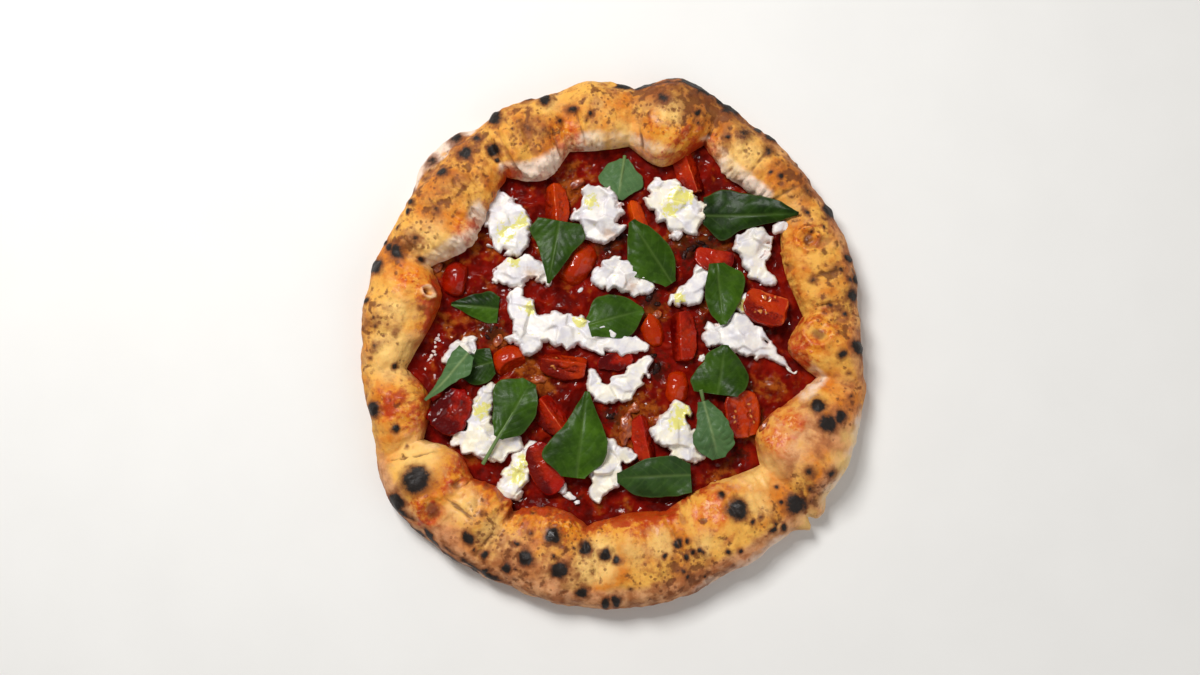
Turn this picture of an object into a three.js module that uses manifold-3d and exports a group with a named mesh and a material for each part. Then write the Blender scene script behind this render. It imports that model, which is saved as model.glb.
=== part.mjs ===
// A whole stuffed crust pizza: a swollen, pinched rim of dough round a well of tomato sauce, topped with torn
// mozzarella, cut cherry tomatoes and basil leaves.
// Millimetres, +Z up. The origin is in the middle of the flat underside. Angles run anticlockwise from +X.
import * as THREE from "three";
import { LoftGeometry } from "three/addons/geometries/LoftGeometry.js";
import { mergeGeometries, mergeVertices } from "three/addons/utils/BufferGeometryUtils.js";
import Module from "manifold-3d";

const wasm = await Module();
wasm.setup();

const { degToRad, euclideanModulo, lerp } = THREE.MathUtils;

// ---------- driving dimensions ----------

const GAP = 0.4; // room left between neighbouring pieces
const BASE_TOP = 4; // thickness of the dough under the sauce
const SAUCE_TOP = 8; // height of the sauce's level surface

// The rim of the dough, all the way round. It swells at a lobe and is pinched in at a crease.
// Each row: [angle in degrees, inner radius, outer radius, height]; lobes and creases take turns.
const RIM = [
  [-2.5, 111, 156.5, 33],
  [7.5, 122, 157, 27],
  [20, 118, 160.5, 31],
  [37.5, 134, 162, 25],
  [52.5, 129, 164.5, 30],
  [65, 140, 168.5, 23],
  [75, 116, 174, 36],
  [85, 126, 163, 28],
  [95, 123, 167.5, 31],
  [102.5, 125, 163.5, 28],
  [112.5, 112, 163, 34],
  [122.5, 126, 161, 26],
  [145, 109, 157, 33],
  [157.5, 125, 158, 26],
  [167.5, 111.5, 158, 32],
  [187.5, 131, 158.5, 24],
  [197.5, 120, 159, 30],
  [207.5, 134, 164.5, 23],
  [217.5, 119, 171, 34],
  [225, 123, 169, 29],
  [232.5, 116.5, 168, 32],
  [240, 123, 167, 27],
  [252.5, 110, 165.5, 32],
  [262.5, 117, 166, 27],
  [277.5, 108, 166, 32],
  [287.5, 112, 164, 28],
  [297.5, 107.5, 162.5, 31],
  [320, 121, 165, 24],
  [327.5, 107.5, 166, 35],
  [350, 131, 162, 25],
];
const RIM_COLUMNS = 144; // every lobe and crease falls on a column

// The rim's section: round outside, on a foot set in from the widest line, with a steep wall to the well.
const SECTION_ANGLES = [-90, -50, -12, 22, 52, 80, 106, 132, 158, 180];
const SECTION_FULLNESS = 2.3; // 2 is an ellipse, more is squarer
const WIDEST_HEIGHT = 0.4; // share of the rim's height at which it is widest
const FOOT_INSET = 13; // how far inside the widest line the flat underside ends
const WALL_TUCK = 2; // how far the inner wall goes back under the rim
const FLOOR_RISE = 0.3; // the well's floor lies this much lower at the foot of the wall
const FLOOR_EDGE = 3; // how far in from the rim the floor is level
const LIP_TOP_ANGLE = 60; // the lips stick out from the part of the section below this angle

// Thin lips of the bottom dough that stick out under the rim.
const LIPS = [
  { at: 133, halfWidth: 9.5, reach: 10, height: 7 },
  { at: 318.5, halfWidth: 4, reach: 5, height: 12 },
  { at: 218, halfWidth: 14, reach: 2, height: 5 },
];
const LIP_THICKNESS = 6;

// Torn mozzarella. Each piece is one strand, or a few grown together, and a strand is [x, y, half width] at
// points along it.
const CURD_THICKNESS = 10; // most that a piece is thick
const CURD_THINNEST = 3.5; // thickness of the thinnest shred, which grows with the half width
const CURD_FULLNESS = 0.55; // by this share of it
const CURD_SINK = 1.5; // how far it sinks into the sauce
const CURDS = [
  [[[-71, 89, 7], [-69, 81, 13], [-66, 72, 15.5], [-63, 65, 10]]],
  [[[-68, 43, 7], [-62, 44, 11], [-54, 47, 8.5], [-45, 44, 6], [-40, 39, 3.5]]],
  [[[-9, 92, 6], [-9, 84, 15], [-6, 75, 12], [-4, 70, 7]], [[-22, 80, 4], [-14, 82, 7]]],
  [[[28, 98, 6], [35, 91, 13], [44, 83, 15], [49, 77, 9]]],
  [[[91, 68, 6], [90, 61, 12], [89, 52, 7.5], [93, 45, 6.5], [99, 40, 5]]],
  [[[104, 70.5, 3], [108, 72, 4.5], [114, 73, 2.5]]],
  [
    [[-60, 28, 6], [-57, 19, 9], [-54, 8, 11.5], [-51, 0, 8]],
    [[-52, 9, 9], [-36, 8, 11], [-22, 6, 10.5], [-8, 2, 8.5], [6, -1, 6.5], [20, -3, 4]],
  ],
  [[[-6, 41, 7], [3, 43, 11.5], [14, 38, 8], [23, 35, 4.5]]],
  [[[57, 50, 3.5], [56, 41, 6], [51, 31, 7.5], [42, 28, 6]]],
  [[[84, 26, 4.5], [81, 22, 3.5]]],
  [[[66, 4, 8.5], [76, 6, 13], [87, 0, 10.5], [98, -7, 5.5], [106, -12, 2.5], [112, -17, 1]]],
  [[[-103, -11, 4.5], [-97, -6, 6.5], [-90, -3, 5.5]]],
  [
    [[-76, -29, 4], [-82, -39, 6.5], [-83, -50, 9], [-82, -60, 12]],
    [[-96, -62, 5], [-85, -62, 13], [-72, -65, 11], [-62, -65, 6]],
  ],
  [[[-50, -66, 4], [-55, -74, 7], [-60, -84, 9.5], [-64, -93, 8.5]]],
  [[[-4, -66, 6.5], [-2, -75, 9], [-5, -84, 12], [-8, -91, 8]], [[0, -72, 6], [11, -72, 4.5]]],
  [[[-41, -89, 2.5], [-36, -90.5, 3.8], [-31, -92, 3]]],
  [[[-12, -20, 3.5], [-11, -29, 6.5], [-3, -32, 8], [7, -30, 8.5], [15, -22, 7.5], [22, -12, 4.5]]],
  [[[42, -46, 8], [39, -56, 12.5], [44, -65, 10], [52, -72, 5.5]]],
];

// Cut cherry tomatoes. A "wedge" lies on its skin with the edge of its two cut faces up, a "half" lies on its
// skin with its cut face up, and a "dome" lies on its cut face with its skin up. Each further trim is a
// direction, seen along the tomato with its skin down, and how far it still reaches that way.
const TOMATO_SINK = 2.2; // how far a piece sinks into the sauce
const TOMATO_FULLNESS = 2.6; // 2 is an ellipsoid, more is a blunter barrel
const TOMATOES = [
  { at: [-36, 87], heading: 95, length: 29, width: 23, cut: "wedge", roll: -8, trims: [] },
  { at: [50, 109], heading: 108, length: 32, width: 23, cut: "wedge", roll: 12, trims: [[-1, 0, 0, 14.5]] },
  { at: [-99, 40], heading: 80, length: 22, width: 18, cut: "dome", roll: 8, trims: [[0, -1, 0.2, 6]] },
  { at: [-22, 50], heading: 54, length: 29, width: 20, cut: "dome", roll: 0, trims: [] },
  { at: [15, 75], heading: 104, length: 31, width: 17, cut: "wedge", roll: -20, trims: [] },
  { at: [65, 53], heading: -10, length: 25, width: 17, cut: "half", roll: -12, trims: [[0, 1, 0.3, 5.5]] },
  {
    at: [98, 22], heading: -18, length: 30, width: 25, cut: "half", roll: -16,
    trims: [[0, 1, 0.3, 8.5], [1, 0, 0.2, 12]],
  },
  {
    at: [43, 3], heading: 92, length: 36, width: 25, cut: "wedge", roll: -14,
    trims: [[1, 0.2, 0, 15.5], [-1, 0, 0, 15.5]],
  },
  { at: [25, 8], heading: 112, length: 23, width: 14, cut: "dome", roll: 0, trims: [[1, 0.8, 0.2, 7]] },
  { at: [-65, -12], heading: 24, length: 21, width: 19, cut: "dome", roll: 0, trims: [[0.1, -1, 0.7, 6]] },
  {
    at: [-30, -13], heading: -7, length: 33, width: 25, cut: "wedge", roll: -20,
    trims: [[1, 0, 0, 14], [-1, 0.2, 0, 14]],
  },
  { at: [2, -13], heading: 16, length: 23, width: 13, cut: "half", roll: 12, trims: [[-0.5, -1, 0, 6]] },
  { at: [-101, -44], heading: 62, length: 29, width: 26, cut: "half", roll: 6, trims: [[0.3, 1, 0, 10.5]] },
  { at: [-38, -46], heading: 126, length: 28, width: 26, cut: "wedge", roll: 10, trims: [[1, 0, 0, 12]] },
  { at: [21, -62], heading: 102, length: 31, width: 21, cut: "wedge", roll: 14, trims: [[-1, 0, 0, 13]] },
  {
    at: [82, -46], heading: 93, length: 32, width: 23, cut: "half", roll: 14,
    trims: [[1, 0, 0, 14.5], [-1, -0.3, 0, 14.5]],
  },
  { at: [-42, -80], heading: 112, length: 34, width: 20, cut: "half", roll: -8, trims: [] },
  { at: [41, -29], heading: 84, length: 21, width: 15, cut: "dome", roll: 0, trims: [] },
];

// Basil leaves, laid on top. base and tip are the ends of the midrib, and left and right the half widths at
// six even steps along it, seen from the base. stem is the length of bare stalk, if any shows, and crown the
// height by which the middle stands above the edges.
const LEAF_THICKNESS = 0.9;
const STALK_WIDTH = 2.2;
const LEAVES = [
  { base: [8, 118], tip: [4, 91], left: [3, 8, 13, 14, 9, 3], right: [3, 11, 14, 14, 9, 2], crown: 2 },
  { base: [-33, 76], tip: [-40, 36], left: [14, 18, 13, 9, 5, 1], right: [14, 18, 12, 8, 4, 1], crown: 2 },
  { base: [38, 37], tip: [12, 76], left: [5, 12, 19, 15, 9, 2], right: [3, 9, 12, 11, 8, 3], crown: 3 },
  { base: [58, 80], tip: [117, 79], left: [12, 17, 15, 12, 8, 1], right: [6, 16, 9, 6, 4, 1], crown: 4 },
  { base: [-72, 21], tip: [-102, 24], left: [9, 10, 8, 6, 3, 1], right: [8, 11, 9, 7, 4, 1], crown: 2 },
  { base: [-15, 10], tip: [20, 20], left: [5, 14, 16, 14, 10, 2], right: [8, 10, 13, 14, 10, 2], crown: 3 },
  { base: [66, 49], tip: [70, 10], left: [5, 16, 16, 13, 8, 2], right: [5, 7, 9, 9, 7, 2], crown: 4 },
  {
    base: [-75, -13], tip: [-96, -18],
    left: [8, 11, 12, 12, 10, 5], right: [9, 10, 10, 9, 8, 4],
    crown: 1,
  },
  { base: [-90, -8], tip: [-116, -38], left: [5, 9, 7, 5, 3, 1], right: [8, 8, 6, 4, 2, 1], crown: 1 },
  {
    base: [-71, -61], tip: [-51, -26],
    left: [3, 9, 13, 18, 17, 6], right: [3, 11, 13, 13, 10, 4],
    stem: 19, crown: 3,
  },
  {
    base: [-22, -86], tip: [-16, -32],
    left: [10, 23, 19, 11, 6, 1], right: [5, 15, 17, 13, 7, 2],
    crown: 4,
  },
  {
    base: [66, -34], tip: [71, -3],
    left: [15, 18, 16, 12, 10, 2], right: [12, 17, 18, 15, 9, 2],
    crown: 4,
  },
  {
    base: [57, -38], tip: [66, -74],
    left: [3, 8, 11, 12, 13, 5], right: [4, 6, 9, 13, 11, 4],
    stem: 7, crown: 3,
  },
  { base: [49, -84], tip: [3, -86], left: [11, 13, 13, 13, 10, 3], right: [7, 12, 12, 11, 7, 3], crown: 3 },
];

// ---------- solids ----------

/** A closed geometry as a solid for cutting. */
function solidOf(geometry) {
  const bare = new THREE.BufferGeometry().setAttribute("position", geometry.getAttribute("position"));
  if (geometry.index) bare.setIndex(geometry.index);
  const merged = mergeVertices(bare, 1e-4);
  const mesh = new wasm.Mesh({
    numProp: 3,
    vertProperties: Float32Array.from(merged.getAttribute("position").array),
    triVerts: Uint32Array.from(merged.index.array),
  });
  return new wasm.Manifold(mesh);
}

/** A solid's surface as a geometry. Scraps that a cut left loose are dropped. */
function geometryOf(solid) {
  const largest = solid.decompose().reduce((a, b) => (a.volume() > b.volume() ? a : b));
  const { numProp, numVert, vertProperties, triVerts } = largest.getMesh();
  const positions = new Float32Array(numVert * 3);
  for (let i = 0; i < numVert; i += 1) {
    positions.set(vertProperties.subarray(i * numProp, i * numProp + 3), i * 3);
  }
  const geometry = new THREE.BufferGeometry();
  geometry.setAttribute("position", new THREE.BufferAttribute(positions, 3));
  geometry.setIndex(new THREE.BufferAttribute(Uint32Array.from(triVerts), 1));
  return geometry;
}

/** A named mesh of a geometry made in the pizza's frame, placed by its own middle at floor level. */
function pieceOf(name, geometry, material) {
  geometry.computeBoundingBox();
  const middle = geometry.boundingBox.getCenter(new THREE.Vector3());
  const mesh = new THREE.Mesh(geometry.translate(-middle.x, -middle.y, 0), material);
  mesh.geometry.computeVertexNormals();
  mesh.name = name;
  mesh.position.set(middle.x, middle.y, 0);
  mesh.updateMatrixWorld();
  return mesh;
}

// ---------- crust ----------

/** The rim at an angle. From a lobe to the crease beside it, each size follows a quarter of a cosine, so
 *  that lobes are round and creases sharp. */
function rimAt(degrees) {
  const first = RIM[0][0];
  const angle = first + euclideanModulo(degrees - first, 360);
  const i = RIM.findLastIndex((row) => row[0] <= angle);
  const from = RIM[i];
  const to = RIM[i + 1] ?? [first + 360, ...RIM[0].slice(1)];
  const share = ((angle - from[0]) / (to[0] - from[0])) * (Math.PI / 2);
  const fromIsLobe = i % 2 === 0;
  const blend = fromIsLobe ? 1 - Math.cos(share) : Math.sin(share);
  const [inner, outer, height] = [1, 2, 3].map((k) => lerp(from[k], to[k], blend));
  return { inner, outer, height };
}

/** How far the lips of bottom dough stick out at an angle and height. */
function lipReach(degrees, z) {
  return LIPS.reduce((reach, lip) => {
    const across = Math.exp(-(((degrees - lip.at) / lip.halfWidth) ** 4));
    const up = Math.exp(-(((z - lip.height) / LIP_THICKNESS) ** 2));
    return reach + lip.reach * across * up;
  }, 0);
}

/** Low swellings of the dough between the lobes, in millimetres. */
function doughSwell(degrees, sectionAngle) {
  const a = degToRad(degrees);
  const s = degToRad(sectionAngle);
  return 0.8 * Math.sin(23 * a + 2 * s) * Math.sin(s) + 0.6 * Math.sin(37 * a - 3 * s) * Math.sin(s) ** 2;
}

/** A point of the rim's section. The part below the widest line curls in to the foot, and the rest is a full
 *  arch from the outer edge over to the wall of the well. grow swells the whole rim by that much. */
function rimPoint(degrees, sectionAngle, grow) {
  const rim = rimAt(degrees);
  const outer = rim.outer + grow;
  const inner = rim.inner - grow;
  const height = rim.height + grow;
  const widest = height * WIDEST_HEIGHT;
  const s = degToRad(sectionAngle);
  const full = (v) => Math.sign(v) * Math.abs(v) ** (2 / SECTION_FULLNESS);
  let radius;
  let z;
  if (sectionAngle < 0) {
    radius = outer - FOOT_INSET * (1 - full(Math.cos(s)));
    z = widest * (1 + full(Math.sin(s)));
  } else {
    const swell = doughSwell(degrees, sectionAngle);
    radius = (outer + inner) / 2 + ((outer - inner) / 2) * full(Math.cos(s));
    z = widest + (height - widest + swell) * full(Math.sin(s));
  }
  if (sectionAngle > SECTION_ANGLES[0] && sectionAngle < LIP_TOP_ANGLE) radius += lipReach(degrees, z);
  return [radius, z];
}

/** The dough, one solid from underside to well. grow makes it that much thicker, for clearing toppings. */
function crustGeometry(grow = 0) {
  const columns = Array.from({ length: RIM_COLUMNS }, (_, i) => (i * 360) / RIM_COLUMNS);
  const ring = (pointAt) =>
    columns.map((degrees) => {
      const [radius, z] = pointAt(degrees);
      const a = degToRad(degrees);
      return new THREE.Vector3(radius * Math.cos(a), radius * Math.sin(a), z);
    });
  const rings = SECTION_ANGLES.map((angle) => ring((degrees) => rimPoint(degrees, angle, grow)));
  rings.push(ring((degrees) => [rimAt(degrees).inner + WALL_TUCK - grow, BASE_TOP + grow - FLOOR_RISE]));
  rings.push(ring((degrees) => [rimAt(degrees).inner - FLOOR_EDGE, BASE_TOP + grow]));
  return new LoftGeometry(rings, { capStart: true, capEnd: true });
}

// ---------- sauce ----------

const SAUCE_COLUMNS = 72;
const SAUCE_FOOT = [0.985, BASE_TOP + GAP]; // share of its outline and height of its underside
const SAUCE_EDGE = [1, SAUCE_TOP - 1.5]; // where its edge meets the wall of the well
const SAUCE_SHARES = [0.98, 0.76, 0.52, 0.26]; // rings of its bumpy top
const SAUCE_MIDDLE = [0.09, SAUCE_TOP + 1.5]; // share and height of the flat top of its middle
const SAUCE_CROWN = 0.8; // the sauce is this much deeper in the middle than at its edge

/** Height of the sauce, lumpy with crushed tomato. */
function sauceHeight(x, y) {
  const crown = SAUCE_CROWN * (1 - (Math.hypot(x, y) / RIM[0][1]) ** 2);
  return SAUCE_TOP + crown + 0.5 * Math.sin(x / 7 + 1) * Math.cos(y / 8) + 0.35 * Math.sin((x - y) / 11 + 2);
}

/** The sauce in its well: level rings from its underside over its edge to the middle. */
function sauceGeometry(grow = 0) {
  const outline = Array.from({ length: SAUCE_COLUMNS }, (_, i) => {
    const degrees = (i * 360) / SAUCE_COLUMNS;
    const radius = rimAt(degrees).inner - 2 * GAP;
    return [radius * Math.cos(degToRad(degrees)), radius * Math.sin(degToRad(degrees))];
  });
  const top = (x, y) => sauceHeight(x, y) + grow;
  const levels = [SAUCE_FOOT, SAUCE_EDGE, ...SAUCE_SHARES.map((share) => [share, top])];
  levels.push([SAUCE_MIDDLE[0], SAUCE_MIDDLE[1] + grow]);
  const rings = levels.map(([share, height]) =>
    outline.map(([x, y]) => {
      const z = typeof height === "function" ? height(x * share, y * share) : height;
      return new THREE.Vector3(x * share, y * share, z);
    }),
  );
  return new LoftGeometry(rings, { capStart: true, capEnd: true });
}

// ---------- mozzarella ----------

const CURD_STEP = 10; // distance between the sections of a strand
const CURD_WAVER = 0.07; // share by which its sides and top waver
const CURD_ENDS = [[0.9, 0.42], [0.55, 0.84]]; // shares of the half width: past the end, and left there
// A strand's section from one side to the other: [share of the half width, share of the thickness].
const CURD_SECTION = [
  [-0.75, 0], [0.75, 0], [1, 0.35], [0.82, 0.78], [0.3, 1], [-0.3, 1], [-0.82, 0.78], [-1, 0.35],
];

/** A strand of mozzarella on a floor height: a cushion-like section carried along it, round at both ends
 *  and uneven as torn cheese is. */
function strandGeometry(strand, floor, seed, grow) {
  const path = new THREE.CatmullRomCurve3(strand.map(([x, y, half]) => new THREE.Vector3(x, y, half)));
  const count = Math.max(2, Math.ceil(path.getLength() / CURD_STEP));
  const inner = path.getSpacedPoints(count).map((p, i) => ({ p, t: i / count, past: 0, share: 1 }));
  const capAt = (t) => CURD_ENDS.map(([past, share]) => ({ p: path.getPointAt(t), t, past, share }));
  const stations = [...capAt(0), ...inner, ...capAt(1).reverse()];
  const sections = stations.map(({ p, t, past, share }, i) => {
    const forward = path.getTangentAt(t).setZ(0).normalize();
    const sideways = new THREE.Vector3(-forward.y, forward.x, 0);
    const outwards = (t < 0.5 ? -1 : 1) * past * p.z;
    const middle = new THREE.Vector3(p.x, p.y, floor).addScaledVector(forward, outwards);
    const full = Math.min(CURD_THICKNESS, CURD_THINNEST + CURD_FULLNESS * p.z);
    const thickness = full * Math.sqrt(share) + grow;
    return CURD_SECTION.map(([across, up]) => {
      const waver = 1 + CURD_WAVER * Math.sin(1.9 * i + 2.5 * Math.sign(across) + seed);
      const aside = across * (p.z * share * waver + grow);
      return middle.clone().addScaledVector(sideways, aside).setZ(floor + up * thickness * waver);
    });
  });
  return new LoftGeometry(sections, { capStart: true, capEnd: true });
}

/** A piece of mozzarella, its strands joined. */
function curdSolid(strands, floor, seed, grow = 0) {
  const solids = strands.map((strand, k) => solidOf(strandGeometry(strand, floor, seed + k, grow)));
  return solids.reduce((whole, solid) => whole.add(solid));
}

// ---------- cherry tomatoes ----------

// The directions in which each cut faces, seen along the tomato with its skin down.
const CUT_FACES = {
  wedge: [[0, 1, 1], [0, -1, 1]],
  half: [[0, 0, 1]],
  dome: [[0, 0, -1]],
};

const DOME_SINK = 1; // how far the cut face of a dome lies below the sauce's level

/** A sphere of diameter 1 made fuller towards a barrel along X: |x|^n + (y^2 + z^2)^(n/2) = 0.5^n. */
function barrelGeometry() {
  const body = new THREE.SphereGeometry(0.5, 10, 8).rotateZ(Math.PI / 2);
  const place = body.getAttribute("position");
  const n = TOMATO_FULLNESS;
  for (let i = 0; i < place.count; i += 1) {
    const point = new THREE.Vector3().fromBufferAttribute(place, i);
    const size = (Math.abs(point.x) ** n + Math.hypot(point.y, point.z) ** n) ** (1 / n);
    point.multiplyScalar(0.5 / size);
    place.setXYZ(i, ...point);
  }
  return body;
}

/** A cherry tomato cut through its middle, trimmed, and laid on the sauce. */
function tomatoSolid({ at, heading, length, width, cut, roll, trims }, grow = 0) {
  const body = barrelGeometry();
  body.scale(length + 2 * grow, width + 2 * grow, width + 2 * grow);
  let solid = solidOf(body);
  for (const [x, y, z, reach] of [...CUT_FACES[cut].map((face) => [...face, 0]), ...trims]) {
    const inwards = new THREE.Vector3(x, y, z).normalize().negate();
    solid = solid.trimByPlane(inwards.toArray(), -reach - grow);
  }
  const middle = cut === "dome" ? SAUCE_TOP - DOME_SINK : SAUCE_TOP - TOMATO_SINK + width / 2;
  return solid.rotate([roll, 0, 0]).rotate([0, 0, heading]).translate([...at, middle]);
}

// ---------- basil ----------

const LEAF_STEPS = 7;
const LEAF_CELL = 3; // how far round a cell a leaf feels for what lies under it
const LEAF_EVENING = 4; // how often its heights are evened out
const LEAF_LIFT = 0.25; // step in which it is lifted until it clears the pile
const LEAF_ACROSS = [-1, -0.5, 0, 0.5, 1];
const STALK_END = -0.05; // where the stalk widens into the blade, as a share of the length
const ABOVE_ALL = 200; // height from which the pile is felt for

/** Half width at a share of a leaf's length: a smooth curve through its even steps. */
function halfWidthAt(steps, along) {
  const curve = new THREE.SplineCurve(steps.map((width, i) => new THREE.Vector2(i, width)));
  return curve.getPoint(THREE.MathUtils.clamp(along, 0, 1)).y;
}

/** Plan points of a leaf: rows from the stalk or base to the tip, each from right edge to left edge. */
function leafRows({ base, tip, left, right, stem = 0 }) {
  const from = new THREE.Vector2(...base);
  const midrib = new THREE.Vector2(...tip).sub(from);
  const sideways = new THREE.Vector2(-midrib.y, midrib.x).normalize();
  const shares = Array.from({ length: LEAF_STEPS }, (_, i) => i / (LEAF_STEPS - 1));
  if (stem > 0) shares.unshift(-stem / midrib.length(), STALK_END);
  return shares.map((along) =>
    LEAF_ACROSS.map((across) => {
      const half = along < 0 ? STALK_WIDTH / 2 : halfWidthAt(across < 0 ? right : left, along);
      const point = from.clone().addScaledVector(midrib, along).addScaledVector(sideways, across * half);
      return { x: point.x, y: point.y, along, across };
    }),
  );
}

/** Top height of what lies at a plan point. */
function topOfPile(pile, x, y) {
  const ray = new THREE.Raycaster(new THREE.Vector3(x, y, ABOVE_ALL), new THREE.Vector3(0, 0, -1));
  const hits = ray.intersectObjects(pile, false);
  return hits.length ? hits[0].point.z : 0;
}

/** Highest point of the pile within a leaf cell. */
function topNear(pile, { x, y }) {
  const steps = [-LEAF_CELL, 0, LEAF_CELL];
  return Math.max(...steps.flatMap((dx) => steps.map((dy) => topOfPile(pile, x + dx, y + dy))));
}

/** Heights evened out so that a leaf bends gently from one cell to the next. */
function evened(heights) {
  return heights.map((row, i) =>
    row.map((height, j) => {
      const beside = [heights[i - 1]?.[j], heights[i + 1]?.[j], row[j - 1], row[j + 1]];
      const near = beside.filter((value) => value !== undefined);
      return (height + near.reduce((sum, value) => sum + value, 0) / near.length) / 2;
    }),
  );
}

/** The same faces looking the other way. */
function turnedOver(geometry) {
  const index = geometry.index;
  for (let i = 0; i < index.count; i += 3) {
    const [second, third] = [index.getX(i + 1), index.getX(i + 2)];
    index.setX(i + 1, third);
    index.setX(i + 2, second);
  }
  return geometry;
}

/** A thin body between two alike faces, each split into triangles in the same way, and a band round them. */
function sheetGeometry(rows) {
  const lower = (p) => p.clone().setZ(p.z - LEAF_THICKNESS);
  const last = rows[0].length - 1;
  const leftEdge = rows.slice(1, -1).map((row) => row[last]);
  const rightEdge = rows.slice(1, -1).map((row) => row[0]);
  const edge = [...rows[0].toReversed(), ...rightEdge, ...rows.at(-1), ...leftEdge.reverse()];
  const upper = new LoftGeometry(rows, { closed: false });
  const under = new LoftGeometry(rows.map((row) => row.map(lower)), { closed: false });
  const band = new LoftGeometry([edge.map(lower), edge]);
  return mergeGeometries([turnedOver(upper), under, band]);
}

/** A leaf draped over the pile: it follows the evened tops of what lies under it and is crowned along its
 *  midrib. */
function leafGeometry(leaf, pile) {
  const rows = leafRows(leaf);
  let heights = rows.map((row) => row.map((cell) => topNear(pile, cell)));
  for (let pass = 0; pass < LEAF_EVENING; pass += 1) heights = evened(heights);
  const points = rows.map((row, i) =>
    row.map(({ x, y, along, across }, j) => {
      const crown = leaf.crown * (1 - across ** 2) * Math.sin(Math.PI * THREE.MathUtils.clamp(along, 0, 1));
      return new THREE.Vector3(x, y, heights[i][j] + crown + LEAF_THICKNESS);
    }),
  );
  return sheetGeometry(points);
}

// ---------- the pizza ----------

const finish = (color, roughness) => new THREE.MeshStandardMaterial({ color, roughness, metalness: 0 });
const CRUST = finish(0xd9a25f, 0.75);
const SAUCE = finish(0x9c1f0c, 0.3);
const MOZZARELLA = finish(0xf3efe2, 0.45);
const TOMATO = finish(0xc4240f, 0.2);
const BASIL = finish(0x2f5a22, 0.4);

const pizza = new THREE.Group();
const crust = pieceOf("crust", crustGeometry(), CRUST);
const sauce = pieceOf("tomato_sauce", sauceGeometry(), SAUCE);
pizza.add(crust, sauce);

// Everything that a topping has to clear, swollen by the gap.
let cleared = solidOf(crustGeometry(GAP)).add(solidOf(sauceGeometry(GAP)));

/** Cuts a topping to fit what lies under and beside it, and adds it to the pizza. */
function addTopping(name, solid, swollen, material) {
  pizza.add(pieceOf(name, geometryOf(solid.subtract(cleared)), material));
  cleared = cleared.add(swollen);
}

TOMATOES.forEach((tomato, i) => {
  addTopping(`cherry_tomato_${i + 1}`, tomatoSolid(tomato), tomatoSolid(tomato, GAP), TOMATO);
});

CURDS.forEach((strands, i) => {
  const [x, y] = strands[0][1];
  const floor = Math.max(topOfPile([crust], x, y), SAUCE_TOP) - CURD_SINK;
  const swollen = curdSolid(strands, floor, i, GAP);
  addTopping(`mozzarella_${i + 1}`, curdSolid(strands, floor, i), swollen, MOZZARELLA);
});

LEAVES.forEach((leaf, i) => {
  const geometry = leafGeometry(leaf, [...pizza.children]);
  while (!solidOf(geometry).intersect(cleared).isEmpty()) geometry.translate(0, 0, LEAF_LIFT);
  cleared = cleared.add(solidOf(geometry)).add(solidOf(geometry.clone().translate(0, 0, GAP)));
  pizza.add(pieceOf(`basil_leaf_${i + 1}`, geometry, BASIL));
});

export default pizza;
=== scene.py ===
"""A whole stuffed crust pizza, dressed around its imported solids.

Shapes are worked out in millimetres in the frame of the solids: +Z up, origin in the middle of the flat
underside, angles anticlockwise from +X. They become metres when a mesh is made.
"""

import bpy
import numpy as np
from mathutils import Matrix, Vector


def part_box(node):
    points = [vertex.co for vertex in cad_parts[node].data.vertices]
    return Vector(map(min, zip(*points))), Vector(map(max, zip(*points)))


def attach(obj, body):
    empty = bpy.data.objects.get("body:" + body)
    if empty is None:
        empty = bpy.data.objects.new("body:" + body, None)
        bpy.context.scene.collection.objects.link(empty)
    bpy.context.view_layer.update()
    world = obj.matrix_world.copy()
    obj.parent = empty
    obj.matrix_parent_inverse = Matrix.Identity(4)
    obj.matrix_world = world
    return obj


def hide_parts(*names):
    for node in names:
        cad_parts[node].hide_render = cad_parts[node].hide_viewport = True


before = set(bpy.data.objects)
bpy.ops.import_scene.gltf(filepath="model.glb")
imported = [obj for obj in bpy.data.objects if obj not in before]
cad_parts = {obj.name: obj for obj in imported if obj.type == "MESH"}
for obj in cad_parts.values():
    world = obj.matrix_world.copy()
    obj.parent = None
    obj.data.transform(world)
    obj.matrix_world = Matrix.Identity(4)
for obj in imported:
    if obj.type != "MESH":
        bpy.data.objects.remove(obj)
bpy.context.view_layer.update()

MM = 0.001

# ---------- sizes shared with the solids ----------

BASE_TOP = 4.0
SAUCE_TOP = 8.0

# Rim of the dough: [angle, inner radius, outer radius, height]; lobes and creases take turns.
RIM = np.array([
    [-2.5, 111, 156.5, 33], [7.5, 122, 157, 27], [20, 118, 160.5, 31], [37.5, 134, 162, 25],
    [52.5, 129, 164.5, 30], [65, 140, 168.5, 23], [75, 116, 174, 36], [85, 126, 163, 28],
    [95, 123, 167.5, 31], [102.5, 125, 163.5, 28], [112.5, 112, 163, 34], [122.5, 126, 161, 26],
    [145, 109, 157, 33], [157.5, 125, 158, 26], [167.5, 111.5, 158, 32], [187.5, 131, 158.5, 24],
    [197.5, 120, 159, 30], [207.5, 134, 164.5, 23], [217.5, 119, 171, 34], [225, 123, 169, 29],
    [232.5, 116.5, 168, 32], [240, 123, 167, 27], [252.5, 110, 165.5, 32], [262.5, 117, 166, 27],
    [277.5, 108, 166, 32], [287.5, 112, 164, 28], [297.5, 107.5, 162.5, 31], [320, 121, 165, 24],
    [327.5, 107.5, 166, 35], [350, 131, 162, 25],
])
SECTION_FULLNESS = 2.3
WIDEST_HEIGHT = 0.4
FOOT_INSET = 13.0
WALL_TUCK = 2.0
LIP_TOP_ANGLE = 60.0
LIP_THICKNESS = 6.0
LIPS = [
    {"at": 133, "half_width": 9.5, "reach": 10, "height": 7},
    {"at": 318.5, "half_width": 4, "reach": 5, "height": 12},
    {"at": 218, "half_width": 14, "reach": 2, "height": 5},
]
SAUCE_CROWN = 0.8

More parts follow.
